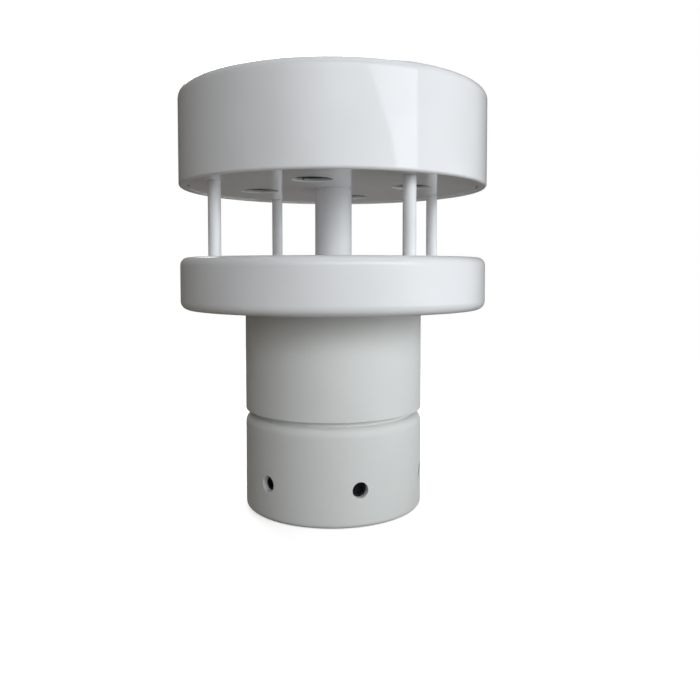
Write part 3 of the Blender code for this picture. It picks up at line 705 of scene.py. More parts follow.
class SENSOR_OT_collar(bpy.types.Operator):
    """Build the mounting collar with its pole socket and screw holes"""

    bl_idname = "sensor.collar"
    bl_label = "Mounting collar"

    def execute(self, context):
        own = sizes()
        collar, neck = Extent("mounting_collar"), Extent("neck_housing")
        stop = MOUNT_HEIGHT["pole_stop_face"]
        shoulder = neck.bottom - own.groove_top_gap
        lip = neck.bottom - own.groove_height
        groove = neck.radius - own.groove_depth
        corners = [
            (own.socket_bore, own.socket_chamfer),
            (own.socket_bore + own.socket_chamfer, collar.bottom),
            (collar.radius, collar.bottom, own.collar_foot_round),
            (collar.radius, lip, own.collar_lip_round),
            (groove, lip),
            (groove, shoulder),
            *thread(own.spigot_radius, shoulder, collar.top - 0.4 * MM, 1.0 * MM, 0.45 * MM),
            (own.spigot_radius - 0.9 * MM, collar.top),
            (own.stop_bore, collar.top, own.small_round),
            (own.stop_bore, stop, own.small_round),
            (own.socket_bore, stop),
        ]
        self.drill(turned(corners, own.big_sides), collar)
        return {"FINISHED"}

    def drill(self, shape, collar):
        """Radial holes at the grub screws, each with a thread and a chamfered mouth."""
        own = sizes()
        sink = own.grub_countersink
        inside, wall = own.socket_bore - CUT_PAST, collar.radius
        corners = [
            (0, inside),
            *thread(own.grub_hole + 0.1 * MM, inside, wall - sink - 0.1 * MM, 0.8 * MM, 0.12 * MM),
            (own.grub_hole, wall - sink),
            (own.grub_hole + sink + CUT_PAST, wall + CUT_PAST),
            (0, wall + CUT_PAST),
        ]
        places = []
        for node in numbered("grub_screw_"):
            middle = Extent(node).middle
            places.append(radial(0, bearing(middle), middle.z))
        holes = copies(turned(corners, own.tube_sides), places)
        piece("mounting_collar", carved(shape, [("DIFFERENCE", holes)]))


class SENSOR_OT_grub_screws(bpy.types.Operator):
    """Build the six grub screws, each with a hexagon socket and a cup point"""

    bl_idname = "sensor.grub_screws"
    bl_label = "Grub screws"

    def execute(self, context):
        own = sizes()
        for node in numbered("grub_screw_"):
            extent = Extent(node)
            angle = bearing(extent.middle)
            half = self.half_length(angle, extent)
            outer = math.hypot(extent.middle.x, extent.middle.y) + half
            axis = radial(outer, angle, extent.middle.z)
            piece(node, moved(self.screw(extent.size.z / 2, 2 * half, own), axis), axis)
        return {"FINISHED"}

    def half_length(self, angle, extent):
        """Half of the screw's length, from the box round the slanted screw."""
        turn = math.radians(angle)
        along, across = abs(math.cos(turn)), abs(math.sin(turn))
        return (extent.size.x - extent.size.z * across) / 2 / along

    def screw(self, radius, length_along, own):
        edge = 0.35 * MM
        corners = [
            (0, -length_along + 0.7 * MM),
            (radius * 0.55, -length_along, 0.1 * MM),
            (radius - 1.6 * edge, -length_along),
            *thread(radius, -length_along + edge, -edge, 0.8 * MM, 0.35 * MM),
            (radius - 1.6 * edge, 0),
            (0, 0),
        ]
        socket = prism(hexagon(2.5 * MM), -1.9 * MM, 0.5 * MM)
        sunk, past = -0.25 * MM, 0.15 * MM
        mouth = turned([(0, sunk), (1.3 * MM, sunk), (1.7 * MM, past), (0, past)], own.small_sides)
        return carved(turned(corners, own.small_sides), [("DIFFERENCE", socket), ("DIFFERENCE", mouth)])


class SENSOR_OT_neck(bpy.types.Operator):
    """Build the neck housing with its flange, the neck floor and its seal"""

    bl_idname = "sensor.neck"
    bl_label = "Neck"

    def execute(self, context):
        own = sizes()
        neck, floor, seal = Extent("neck_housing"), Extent("neck_floor"), Extent("floor_seal")
        base, screw = Extent("reflector_base"), Extent("neck_screw_1")
        ceiling = screw.bottom + 3.3 * MM
        shoulder = seal.top + 0.3 * MM
        bore, threaded = 24.5 * MM, 26.5 * MM
        top = base.bottom - 0.02 * MM
        corners = [
            (threaded + 0.4 * MM, neck.bottom),
            (neck.radius, neck.bottom, own.neck_edge_round),
            (neck.radius, top, 0.1 * MM),
            (WIRE_WAY, top, own.small_round),
            (WIRE_WAY, ceiling, own.small_round),
            (bore, ceiling, 1.0 * MM),
            (bore, shoulder, own.small_round),
            (threaded, shoulder),
            (threaded, neck.bottom + 0.4 * MM),
        ]
        screws = hole(SCREW_CLEARANCE, ceiling - CUT_PAST, top + CUT_PAST, own.small_sides)
        holes = copies(screws, [upright(place) for place in middles("neck_screw_")])
        piece("neck_housing", carved(turned(corners, own.big_sides), [("DIFFERENCE", holes)]))
        self.floor(own, floor)
        self.seal(own, seal)
        return {"FINISHED"}

    def floor(self, own, floor):
        inner = Extent("cable_connector").radius * 0.77
        corners = [
            (inner, floor.bottom, own.small_round),
            (floor.radius, floor.bottom, 0.5 * MM),
            (floor.radius, floor.top, 0.5 * MM),
            (inner, floor.top, own.small_round),
        ]
        piece("neck_floor", turned(corners, own.big_sides))

    def seal(self, own, seal):
        middle = (seal.bottom + seal.top) / 2
        half = seal.top - middle
        piece("floor_seal", o_ring(seal.radius - half, middle, half, own.big_sides))


def o_ring(circle, height, half, sides):
    """A round seal: a small circle spun round the axis."""
    points = 16
    corners = []
    for index in range(points):
        turn = math.tau * index / points
        corners.append((circle + half * math.cos(turn), height + half * math.sin(turn)))
    return turned(corners, sides)


class SENSOR_OT_connector(bpy.types.Operator):
    """Build the cable connector under the neck floor, with its pins, seal and nut"""

    bl_idname = "sensor.connector"
    bl_label = "Cable connector"

    def execute(self, context):
        own = sizes()
        shell, insert = Extent("cable_connector"), Extent("connector_insert")
        seal, nut = Extent("connector_seal"), Extent("connector_nut")
        body, mouth = 7.9 * MM, 5.6 * MM
        flange_top, flange_bottom = seal.bottom - 0.3 * MM, seal.bottom - 2.5 * MM
        mouth_top, cup_bottom, cup = insert.top + 0.3 * MM, insert.top + 2.8 * MM, 6.0 * MM
        corners = [
            (0, mouth_top),
            (mouth, mouth_top),
            (mouth, shell.bottom + 0.4 * MM),
            (mouth + 0.4 * MM, shell.bottom),
            (body - 0.7 * MM, shell.bottom),
            *thread(body, shell.bottom + 0.3 * MM, flange_bottom - 1.2 * MM, 1.0 * MM, 0.4 * MM),
            (body - 0.8 * MM, flange_bottom - 0.8 * MM),
            (body - 0.8 * MM, flange_bottom),
            (shell.radius, flange_bottom, own.small_round),
            (shell.radius, flange_top, own.small_round),
            (body, flange_top),
            (body, nut.bottom),
            *thread(body, nut.bottom + 0.2 * MM, shell.top - 0.3 * MM, 1.0 * MM, 0.4 * MM),
            (cup + 0.6 * MM, shell.top),
            (cup, shell.top),
            (cup, cup_bottom, 0.4 * MM),
            (0, cup_bottom),
        ]
        key = box_shape((2.0 * MM, 1.6 * MM, 4.4 * MM), shell.bottom - 0.4 * MM)
        key = moved(key, Matrix.Translation((0, mouth + 0.1 * MM, 0)))
        spanner = copies(
            box_shape((5.0 * MM, 20 * MM, 3 * MM), flange_bottom - 0.1 * MM),
            [Matrix.Translation((side * (shell.radius + 1.3 * MM), 0, 0)) for side in (-1, 1)],
        )
        tools = [("DIFFERENCE", key), ("DIFFERENCE", spanner)]
        piece("cable_connector", carved(turned(corners, own.tube_sides), tools))
        self.insert(own, insert)
        piece("connector_seal", o_ring_flat(seal, body + 0.3 * MM, own))
        piece("connector_nut", nut_shape(nut, 20.0 * MM, body + 0.15 * MM, own))
        return {"FINISHED"}

    def insert(self, own, insert):
        """A black plug of plastic with four gold pins."""
        face = insert.top - 2.6 * MM
        sockets = [on_circle(2.6 * MM, angle) for angle in (45, 135, 225, 315)]
        plug = turned(
            [
                (0, face),
                (1.0 * MM, face),
                (insert.radius, face, own.small_round),
                (insert.radius, insert.top),
                (0, insert.top),
            ],
            own.tube_sides,
        )
        well = hole(0.85 * MM, face - CUT_PAST, face + 0.4 * MM, own.small_sides)
        wells = copies(well, [upright(place) for place in sockets])
        piece("connector_insert", carved(plug, [("DIFFERENCE", wells)]))
        pin = [
            (0, insert.bottom),
            (0.5 * MM, insert.bottom, 0.3 * MM),
            (0.5 * MM, face + 0.35 * MM),
            (0, face + 0.35 * MM),
        ]
        for number, place in enumerate(sockets, 1):
            axis = upright(place)
            detail(f"connector_pin_{number}", moved(turned(pin, own.small_sides), axis), "insert_brass", axis)


def o_ring_flat(seal, inner, own):
    """A flat washer of rubber with rounded edges."""
    rounding = (seal.top - seal.bottom) * 0.35
    corners = [
        (inner, seal.bottom, rounding),
        (seal.radius, seal.bottom, rounding),
        (seal.radius, seal.top, rounding),
        (inner, seal.top, rounding),
    ]
    return turned(corners, own.tube_sides)


def nut_shape(extent, flats, bore, own):
    """A hexagon nut whose corners are turned off and whose thread is chamfered."""
    bottom, top = extent.bottom, extent.top
    corner = flats / 2 / math.cos(math.radians(30))
    blank = prism(hexagon(flats), bottom, top)
    drop = (corner - flats / 2) * 0.6
    limit = turned(
        [
            (0, bottom),
            (flats / 2 * 0.98, bottom),
            (corner * 1.01, bottom + drop),
            (corner * 1.01, top - drop),
            (flats / 2 * 0.98, top),
            (0, top),
        ],
        own.tube_sides,
    )
    sink = bore * 0.12
    thread_hole = turned(
        [
            (0, bottom - CUT_PAST),
            (bore + sink + CUT_PAST, bottom - CUT_PAST),
            (bore, bottom + sink),
            (bore, top - sink),
            (bore + sink + CUT_PAST, top + CUT_PAST),
            (0, top + CUT_PAST),
        ],
        own.tube_sides,
    )
    return carved(blank, [("INTERSECT", limit), ("DIFFERENCE", thread_hole)])


# ---------------------------------------------------------------- electronics


def peg_corners(extent, body, board_bottom, board_top, own):
    """Outline of a pillar with a snap head over the board that it holds."""
    peg = 1.4 * MM
    head = board_top + 0.1 * MM
    return [
        (0, extent.bottom),
        (body, extent.bottom, own.small_round),
        (body, board_bottom - 0.05 * MM, own.small_round),
        (peg, board_bottom - 0.05 * MM),
        (peg, head),
        (peg + 0.28 * MM, head + 0.1 * MM, 0.08 * MM),
        (peg * 0.7, extent.top, 0.1 * MM),
        (0, extent.top),
    ]


def board_shape(extent, peg_places, own):
    """A round board with a hole for each peg."""
    disc = turned(
        [
            (0, extent.bottom),
            (extent.radius, extent.bottom, 0.15 * MM),
            (extent.radius, extent.top, 0.15 * MM),
            (0, extent.top),
        ],
        own.big_sides,
    )
    peg_hole = hole(1.6 * MM, extent.bottom - CUT_PAST, extent.top + CUT_PAST, own.small_sides)
    return carved(disc, [("DIFFERENCE", copies(peg_hole, [upright(place) for place in peg_places]))])


def chip_shape(extent):
    """A moulded chip with a sunk dot that marks its first leg."""
    dot_sides = 24
    chip = box_shape(extent.size, extent.bottom, 0.12 * MM)
    dot = hole(0.45 * MM, extent.top - 0.08 * MM, extent.top + CUT_PAST, dot_sides)
    corner = Vector((-extent.size.x / 2 + 1.1 * MM, extent.size.y / 2 - 1.1 * MM, 0))
    marked = carved(chip, [("DIFFERENCE", moved(dot, upright(corner)))])
    return moved(marked, upright(extent.middle))


def chip_legs(extent, board_top):
    """Rows of tinned legs along the four sides of a chip."""
    per_side, pitch = 12, 0.72 * MM
    leg = box_shape((1.1 * MM, 0.28 * MM, 0.18 * MM), board_top + 0.02 * MM, 0.04 * MM)
    places = []
    for side in range(4):
        turn = Matrix.Rotation(math.radians(90 * side), 4, "Z")
        for index in range(per_side):
            along = (index - (per_side - 1) / 2) * pitch
            step = Matrix.Translation((extent.size.x / 2 + 0.5 * MM, along, 0))
            places.append(upright(extent.middle) @ turn @ step)
    return copies(leg, places)


def header_shape(extent, opens_up):
    """A socket for the harness: a box with rounded edges, a well and a key slot."""
    wall = 0.9 * MM
    well_size = Vector((extent.size.x - 2 * wall, extent.size.y - 2 * wall, extent.size.z - wall + CUT_PAST))
    well_bottom = extent.bottom + wall if opens_up else extent.bottom - CUT_PAST
    well = box_shape(well_size, well_bottom)
    slot_size = Vector((3.0 * MM, extent.size.y / 2 + CUT_PAST, well_size.z * 0.7))
    slot_bottom = well_bottom + well_size.z * 0.3 if opens_up else well_bottom
    slot = moved(box_shape(slot_size, slot_bottom), Matrix.Translation((0, extent.size.y / 2, 0)))
    blank = box_shape(extent.size, extent.bottom, 0.2 * MM)
    return carved(blank, [("DIFFERENCE", well), ("DIFFERENCE", slot)])


def header_pins(extent, opens_up):
    """Two rows of five pins in a header's well."""
    low = extent.bottom + 0.3 * MM if opens_up else extent.bottom + 0.8 * MM
    pin = box_shape((0.5 * MM, 0.5 * MM, 2.9 * MM), low, 0.1 * MM)
    places = []
    for row in (-0.5, 0.5):
        for column in range(5):
            places.append(Matrix.Translation(((column - 2) * 1.9 * MM, row * 1.7 * MM, 0)))
    return copies(pin, places)


class SENSOR_OT_main_board(bpy.types.Operator):
    """Build the main board, what is soldered on it, and its standoffs"""

    bl_idname = "sensor.main_board"
    bl_label = "Main board"

    def execute(self, context):
        own = sizes()
        board, chip = Extent("main_board"), Extent("processor_chip")
        header, capacitor = Extent("harness_header"), Extent("power_capacitor")
        pegs = middles("board_standoff_")
        piece("main_board", board_shape(board, pegs, own))
        for node, place in zip(numbered("board_standoff_"), pegs):
            extent = Extent(node)
            corners = peg_corners(extent, extent.radius, board.bottom, board.top, own)
            piece(node, moved(turned(corners, own.small_sides), upright(place)), upright(place))
        piece("processor_chip", chip_shape(chip))
        detail("processor_legs", chip_legs(chip, board.top), "fastener_steel")
        piece("harness_header", header_shape(header, True))
        detail("harness_header_pins", header_pins(header, True), "insert_brass")
        self.capacitor(own, capacitor)
        return {"FINISHED"}

    def capacitor(self, own, extent):
        """A can in a sleeve, with a crimped waist and a scored top."""
        radius, bottom, top = extent.radius, extent.bottom, extent.top
        corners = [
            (0, bottom),
            (radius, bottom, 0.3 * MM),
            (radius, bottom + 1.2 * MM, 0.2 * MM),
            (radius - 0.35 * MM, bottom + 1.6 * MM, 0.2 * MM),
            (radius, bottom + 2.0 * MM, 0.2 * MM),
            (radius, top, 0.5 * MM),
            (radius * 0.72, top, 0.05 * MM),
            (radius * 0.68, top - 0.2 * MM),
            (0, top - 0.2 * MM),
        ]
        score = box_shape((radius * 1.1, 0.25 * MM, 1.0 * MM), top - 0.35 * MM)
        can = carved(turned(corners, own.tube_sides), [("DIFFERENCE", score)])
        piece("power_capacitor", moved(can, upright(extent.middle)), upright(extent.middle))


class SENSOR_OT_head_electronics(bpy.types.Operator):
    """Build the retainer over the transducers, the head board and its header"""

    bl_idname = "sensor.head_electronics"
    bl_label = "Head electronics"

    def execute(self, context):
        own = sizes()
        retainer, board = Extent("transducer_retainer"), Extent("head_board")
        header, nut = Extent("head_header"), Extent("tube_upper_nut")
        plate_top = nut.bottom - 0.3 * MM
        pegs = [on_circle(30 * MM, angle) for angle in (45, 135, 225, 315)]
        disc = turned(
            [
                (TUBE_END_CLEARANCE, retainer.bottom, own.small_round),
                (retainer.radius, retainer.bottom, 0.5 * MM),
                (retainer.radius, plate_top, 0.5 * MM),
                (TUBE_END_CLEARANCE, plate_top, own.small_round),
            ],
            own.big_sides,
        )
        pillar = Extent("transducer_retainer")
        pillar.bottom = retainer.bottom + 1.0 * MM
        corners = peg_corners(pillar, 2.5 * MM, board.bottom, board.top, own)
        pillars = copies(turned(corners, own.small_sides), [upright(place) for place in pegs])
        leads = hole(2.0 * MM, retainer.bottom - CUT_PAST, plate_top + CUT_PAST, own.small_sides)
        leads = copies(leads, [upright(place) for place in middles("transducer_")])
        piece("transducer_retainer", carved(disc, [("UNION", pillars), ("DIFFERENCE", leads)]))
        piece("head_board", board_shape(board, pegs, own))
        piece("head_header", header_shape(header, False))
        detail("head_header_pins", header_pins(header, False), "insert_brass")
        return {"FINISHED"}


class SENSOR_OT_wire_harness(bpy.types.Operator):
    """Build the bundle of wires in the tube, twisted together"""

    bl_idname = "sensor.wire_harness"
    bl_label = "Wire harness"

    def execute(self, context):
        extent = Extent("wire_harness")
        wires, points, turns = 5, 60, 5.0
        wire_radius = 0.85 * MM
        circle = extent.radius - wire_radius - 0.1 * MM
        for number in range(wires):
            curve = bpy.data.curves.new("wire", "CURVE")
            curve.dimensions = "3D"
            curve.bevel_depth = wire_radius
            curve.bevel_resolution = 3
            curve.use_fill_caps = True
            spline = curve.splines.new("POLY")
            spline.points.add(points - 1)
            for index, point in enumerate(spline.points):
                share = index / (points - 1)
                place = on_circle(circle, 360.0 * (number / wires + turns * share))
                point.co = (place.x, place.y, extent.bottom + share * extent.size.z, 1)
            self.keep(curve, f"sensor_wire_{number + 1}", number == 0)
        return {"FINISHED"}

    def keep(self, curve, name, stands_for_harness):
        """Turns the curve into a mesh and finishes it."""
        helper = bpy.data.objects.new("helper", curve)
        bpy.context.scene.collection.objects.link(helper)
        mesh = bpy.data.meshes.new_from_object(helper.evaluated_get(bpy.context.evaluated_depsgraph_get()))
        bpy.data.objects.remove(helper)
        bpy.data.curves.remove(curve)
        mesh.name = name
        obj = bpy.data.objects.new(name, mesh)
        bpy.context.scene.collection.objects.link(obj)
        nodes = ["wire_harness"] if stands_for_harness else []
        finish_piece(obj, SLOT_OF["wire_harness"], MAIN_BODY, nodes)


# ---------------------------------------------------------------- reflector, posts and tube


class SENSOR_OT_reflector(bpy.types.Operator):
    """Build the reflector disc, the base that closes it, and the seal between them"""

    bl_idname = "sensor.reflector"
    bl_label = "Reflector"

    def execute(self, context):
        own = sizes()
        disc, base, tube = Extent("reflector_disc"), Extent("reflector_base"), Extent("center_tube")
        bore, tube_seat = disc.radius - own.reflector_wall, tube.radius + own.seat_fit
        ceiling = disc.top - own.shell
        seat = disc.top - own.seat_depth
        corners = [
            (bore, disc.bottom, 0.15 * MM),
            (disc.radius, disc.bottom, own.reflector_foot_round),
            (disc.radius, disc.top, own.reflector_top_round),
            (tube_seat, disc.top),
            (tube_seat, seat),
            (TUBE_END_CLEARANCE, seat),
            (TUBE_END_CLEARANCE, ceiling),
            (bore, ceiling, 1.0 * MM),
        ]
        screws = [upright(place) for place in middles("neck_screw_")]
        posts = [upright(place) for place in middles("post_")]
        boss_bottom = base.top + 0.3 * MM
        bosses = copies(self.boss(boss_bottom, ceiling, own), screws)
        blind = hole(SCREW_CLEARANCE, boss_bottom - CUT_PAST, ceiling - 4 * MM, own.small_sides)
        post = Extent("post_1").radius + own.seat_fit
        below, above = ceiling - CUT_PAST, disc.top + CUT_PAST
        seats = stepped_hole(SCREW_CLEARANCE, post, below, seat, above, own.tube_sides)
        tools = [
            ("UNION", bosses),
            ("DIFFERENCE", copies(blind, screws)),
            ("DIFFERENCE", copies(seats, posts)),
        ]
        piece("reflector_disc", carved(turned(corners, own.big_sides), tools))
        self.base(own, base, screws)
        return {"FINISHED"}

    def boss(self, bottom, ceiling, own):
        corners = [(0, bottom), (4.0 * MM, bottom, 0.3 * MM), (4.4 * MM, ceiling + MM), (0, ceiling + MM)]
        return turned(corners, own.small_sides)

    def base(self, own, base, screws):
        corners = [
            (WIRE_WAY, base.bottom, own.small_round),
            *rim_corners(base),
            (WIRE_WAY, base.top, own.small_round),
        ]
        through = hole(SCREW_CLEARANCE, base.bottom - CUT_PAST, base.top + CUT_PAST, own.small_sides)
        holes = copies(through, screws)
        piece("reflector_base", carved(turned(corners, own.big_sides), [("DIFFERENCE", holes)]))
        rim_seal("reflector_seal", own)


def rim_corners(plate):
    """The rim of a closing plate with the groove for its O-ring."""
    groove_bottom = plate.bottom + 1.0 * MM
    groove_top = groove_bottom + 1.9 * MM
    inner = plate.radius - 1.65 * MM
    return [
        (plate.radius, plate.bottom, 0.25 * MM),
        (plate.radius, groove_bottom),
        (inner, groove_bottom, 0.2 * MM),
        (inner, groove_top, 0.2 * MM),
        (plate.radius, groove_top),
        (plate.radius, plate.top, 0.2 * MM),
    ]


def rim_seal(node, own):
    seal = Extent(node)
    half = (seal.top - seal.bottom) / 2
    piece(node, o_ring(seal.radius - half, seal.bottom + half, half, own.big_sides))


class SENSOR_OT_neck_screws(bpy.types.Operator):
    """Build the four screws that hold the neck to the reflector"""

    bl_idname = "sensor.neck_screws"
    bl_label = "Neck screws"

    def execute(self, context):
        own = sizes()
        for node in numbered("neck_screw_"):
            extent = Extent(node)
            head_top = extent.bottom + 3.0 * MM
            corners = [
                (0, extent.bottom),
                (extent.radius, extent.bottom, 0.35 * MM),
                (extent.radius, head_top, 0.1 * MM),
                (1.5 * MM, head_top),
                (1.5 * MM, head_top + 4 * MM),
                *thread(1.5 * MM, head_top + 4.2 * MM, extent.top - 0.4 * MM, 0.5 * MM, 0.25 * MM),
                (1.0 * MM, extent.top),
                (0, extent.top),
            ]
            socket = prism(hexagon(2.5 * MM), extent.bottom - CUT_PAST, extent.bottom + 1.5 * MM)
            screw = carved(turned(corners, own.small_sides), [("DIFFERENCE", socket)])
            piece(node, moved(screw, upright(extent.middle)), upright(extent.middle))
        return {"FINISHED"}


class SENSOR_OT_posts(bpy.types.Operator):
    """Build the four posts with their nuts and brass inserts"""

    bl_idname = "sensor.posts"
    bl_label = "Posts"

    def execute(self, context):
        own = sizes()
        foot = Extent("reflector_disc").top - own.seat_depth + 0.05 * MM
        head = Extent("head_plate").bottom + own.seat_depth - 0.05 * MM
        stud = 1.5 * MM
        for node in numbered("post_"):
            extent = Extent(node)
            corners = [
                (0, extent.bottom),
                (stud - 0.3 * MM, extent.bottom),
                *thread(stud, extent.bottom + 0.3 * MM, foot - 1.5 * MM, 0.5 * MM, 0.25 * MM),
                (stud, foot),
                (extent.radius, foot, 0.15 * MM),
                (extent.radius, head, 0.15 * MM),
                (stud, head),
                *thread(stud, head + 2.5 * MM, extent.top - 0.3 * MM, 0.5 * MM, 0.25 * MM),
                (stud - 0.3 * MM, extent.top),
                (0, extent.top),
            ]
            axis = upright(extent.middle)
            piece(node, moved(turned(corners, own.tube_sides), axis), axis)
        for node in numbered("post_nut_"):
            extent = Extent(node)
            axis = upright(extent.middle)
            piece(node, moved(nut_shape(extent, 5.5 * MM, 1.6 * MM, own), axis), axis)
        for node in numbered("post_insert_"):
            self.insert(own, node, Extent(node))
        return {"FINISHED"}

    def insert(self, own, node, extent):
        """A threaded sleeve with a waist, as pressed into plastic."""
        radius, waist = extent.radius, extent.radius - 0.35 * MM
        middle = (extent.bottom + extent.top) / 2
        corners = [
            (1.6 * MM, extent.bottom),
            (radius, extent.bottom, 0.15 * MM),
            *thread(radius, extent.bottom + 0.5 * MM, middle - 0.6 * MM, 0.4 * MM, 0.12 * MM),
            (waist, middle - 0.5 * MM),
            (waist, middle + 0.5 * MM),
            *thread(radius, middle + 0.6 * MM, extent.top - 0.5 * MM, 0.4 * MM, 0.12 * MM),
            (radius, extent.top, 0.15 * MM),
            (1.6 * MM, extent.top),
        ]
        axis = upright(extent.middle)
        piece(node, moved(turned(corners, own.small_sides), axis), axis)


class SENSOR_OT_center_tube(bpy.types.Operator):
    """Build the wiring tube and the nuts on its ends"""

    bl_idname = "sensor.center_tube"
    bl_label = "Center tube"

    def execute(self, context):
        own = sizes()
        tube, disc, plate = Extent("center_tube"), Extent("reflector_disc"), Extent("head_plate")
        foot = disc.top - own.seat_depth + 0.05 * MM
        head = plate.bottom + own.seat_depth - 0.05 * MM
        end, bore = 5.0 * MM, 3.8 * MM
        corners = [
            (bore, tube.bottom, 0.2 * MM),
            (end - 0.5 * MM, tube.bottom),
            *thread(end, tube.bottom + 0.5 * MM, foot - 1.5 * MM, 0.75 * MM, 0.35 * MM),
            (end - 0.4 * MM, foot),
            (tube.radius, foot, 0.2 * MM),
            (tube.radius, head, 0.2 * MM),
            (end - 0.4 * MM, head),
            *thread(end, head + 3.0 * MM, tube.top - 0.5 * MM, 0.75 * MM, 0.35 * MM),
            (end - 0.5 * MM, tube.top),
            (bore, tube.top, 0.2 * MM),
        ]
        piece("center_tube", turned(corners, own.tube_sides))
        for node in ("tube_lower_nut", "tube_upper_nut"):
            piece(node, nut_shape(Extent(node), 15.0 * MM, 5.1 * MM, own))
        return {"FINISHED"}


# ---------------------------------------------------------------- head


class SENSOR_OT_head(bpy.types.Operator):
    """Build the head cap, the plate under it, and the seal between them"""

    bl_idname = "sensor.head"
    bl_label = "Head"

    def execute(self, context):
        own = sizes()
        cap, plate = Extent("head_cap"), Extent("head_plate")
        bore, ceiling = cap.radius - own.shell, cap.top - own.shell
        corners = [
            (0, ceiling),
            (bore, ceiling, 1.0 * MM),
            (bore, cap.bottom, 0.25 * MM),
            (cap.radius, cap.bottom, own.head_lip_round),
            (cap.radius, cap.top, own.head_top_round),
            (0, cap.top),
        ]
        posts = middles("post_")
        foot = plate.top + 0.3 * MM
        pillars = copies(self.pillar(foot, ceiling, bore), [self.at_wall(place) for place in posts])
        insert_hole = hole(2.7 * MM, foot - CUT_PAST, foot + 8 * MM, own.small_sides)
        holes = copies(insert_hole, [upright(place) for place in posts])
        tools = [("UNION", pillars), ("DIFFERENCE", holes)]
        piece("head_cap", carved(turned(corners, own.big_sides), tools))
        self.plate(own, plate)
        rim_seal("head_seal", own)
        return {"FINISHED"}

    def pillar(self, bottom, ceiling, bore):
        """A pillar that stands in from the wall, half round inside and straight out into the wall."""
        radius, circle, steps = 4.6 * MM, 43.0 * MM, 16
        rounded = []
        for index in range(steps + 1):
            side = on_circle(radius, 270 - 180.0 * index / steps)
            rounded.append((circle + side.x, side.y))
        wall = bore + 1.5 * MM
        outline = [(wall, -radius), *rounded, (wall, radius)]
        return prism(outline, bottom, ceiling + MM)

    def at_wall(self, place):
        return Matrix.Rotation(math.radians(bearing(place)), 4, "Z")

    def plate(self, own, plate):
        tube = Extent("center_tube").radius + own.seat_fit
        seat = plate.bottom + own.seat_depth
        corners = [
            (tube, plate.bottom),
            *rim_corners(plate),
            (TUBE_END_CLEARANCE, plate.top),
            (TUBE_END_CLEARANCE, seat),
            (tube, seat),
        ]
        below, above = plate.bottom - CUT_PAST, plate.top + CUT_PAST
        lip = plate.bottom + own.opening_lip
        transducers = [upright(place) for place in middles("transducer_")]
        openings = hole(own.opening_radius, below, above, own.tube_sides, own.opening_round, plate.bottom)
        pockets = hole(7.8 * MM, lip, above, own.tube_sides)
        post = Extent("post_1").radius + own.seat_fit
        seats = stepped_hole(post, SCREW_CLEARANCE, below, seat, above, own.tube_sides)
        tools = [
            ("DIFFERENCE", copies(openings, transducers)),
            ("DIFFERENCE", copies(pockets, transducers)),
            ("DIFFERENCE", copies(seats, [upright(place) for place in middles("post_")])),
        ]
        piece("head_plate", carved(turned(corners, own.big_sides), tools))


class SENSOR_OT_transducers(bpy.types.Operator):
    """Build the four transducers and the rubber sleeves round them"""

    bl_idname = "sensor.transducers"
    bl_label = "Transducers"

    def execute(self, context):
        own = sizes()
        for node in numbered("transducer_"):
            extent = Extent(node)
            dish, face = extent.radius - 1.0 * MM, extent.bottom + 0.4 * MM
            corners = [
                (0, face - 0.15 * MM),
                (1.6 * MM, face - 0.15 * MM, 0.1 * MM),
                (2.0 * MM, face),
                (dish - 0.4 * MM, face),
                (dish, extent.bottom + 0.15 * MM),
                (dish + 0.15 * MM, extent.bottom, 0.05 * MM),
                (extent.radius, extent.bottom, 0.3 * MM),
                (extent.radius, extent.top, 0.3 * MM),
                (0, extent.top),
            ]
            axis = upright(extent.middle)
            piece(node, moved(turned(corners, own.tube_sides), axis), axis)
        inner, rounding = Extent("transducer_1").radius + 0.05 * MM, 0.3 * MM
        for node in numbered("transducer_sleeve_"):
            extent = Extent(node)
            corners = [
                (inner, extent.bottom, 0.15 * MM),
                (extent.radius, extent.bottom, rounding),
                (extent.radius, extent.top, rounding),
                (inner, extent.top, 0.15 * MM),
            ]
            axis = upright(extent.middle)
            piece(node, moved(turned(corners, own.tube_sides), axis), axis)
        return {"FINISHED"}


# ---------------------------------------------------------------- studio


def studio_shader(name, build):
    """A stage material whose surface is the socket that build returns."""
    material = bpy.data.materials.new(name)
    material.use_nodes = True
    material.node_tree.nodes.clear()
    sheet = Sheet(material.node_tree)
    sheet.join(build(sheet), sheet.add("ShaderNodeOutputMaterial").inputs["Surface"])
    return material


def around(azimuth, distance, height):
    """A place by its compass direction from the camera's side: 0 is where the camera stands."""
    turn = bpy.context.scene.sensor_studio.camera_azimuth + math.radians(azimuth)
    return Vector((math.sin(turn) * distance, -math.cos(turn) * distance, height))


def raised(distance, elevation):
    """The height that shows at this elevation from the middle of the sensor."""
    return MIDDLE_HEIGHT + distance * math.tan(math.radians(elevation))


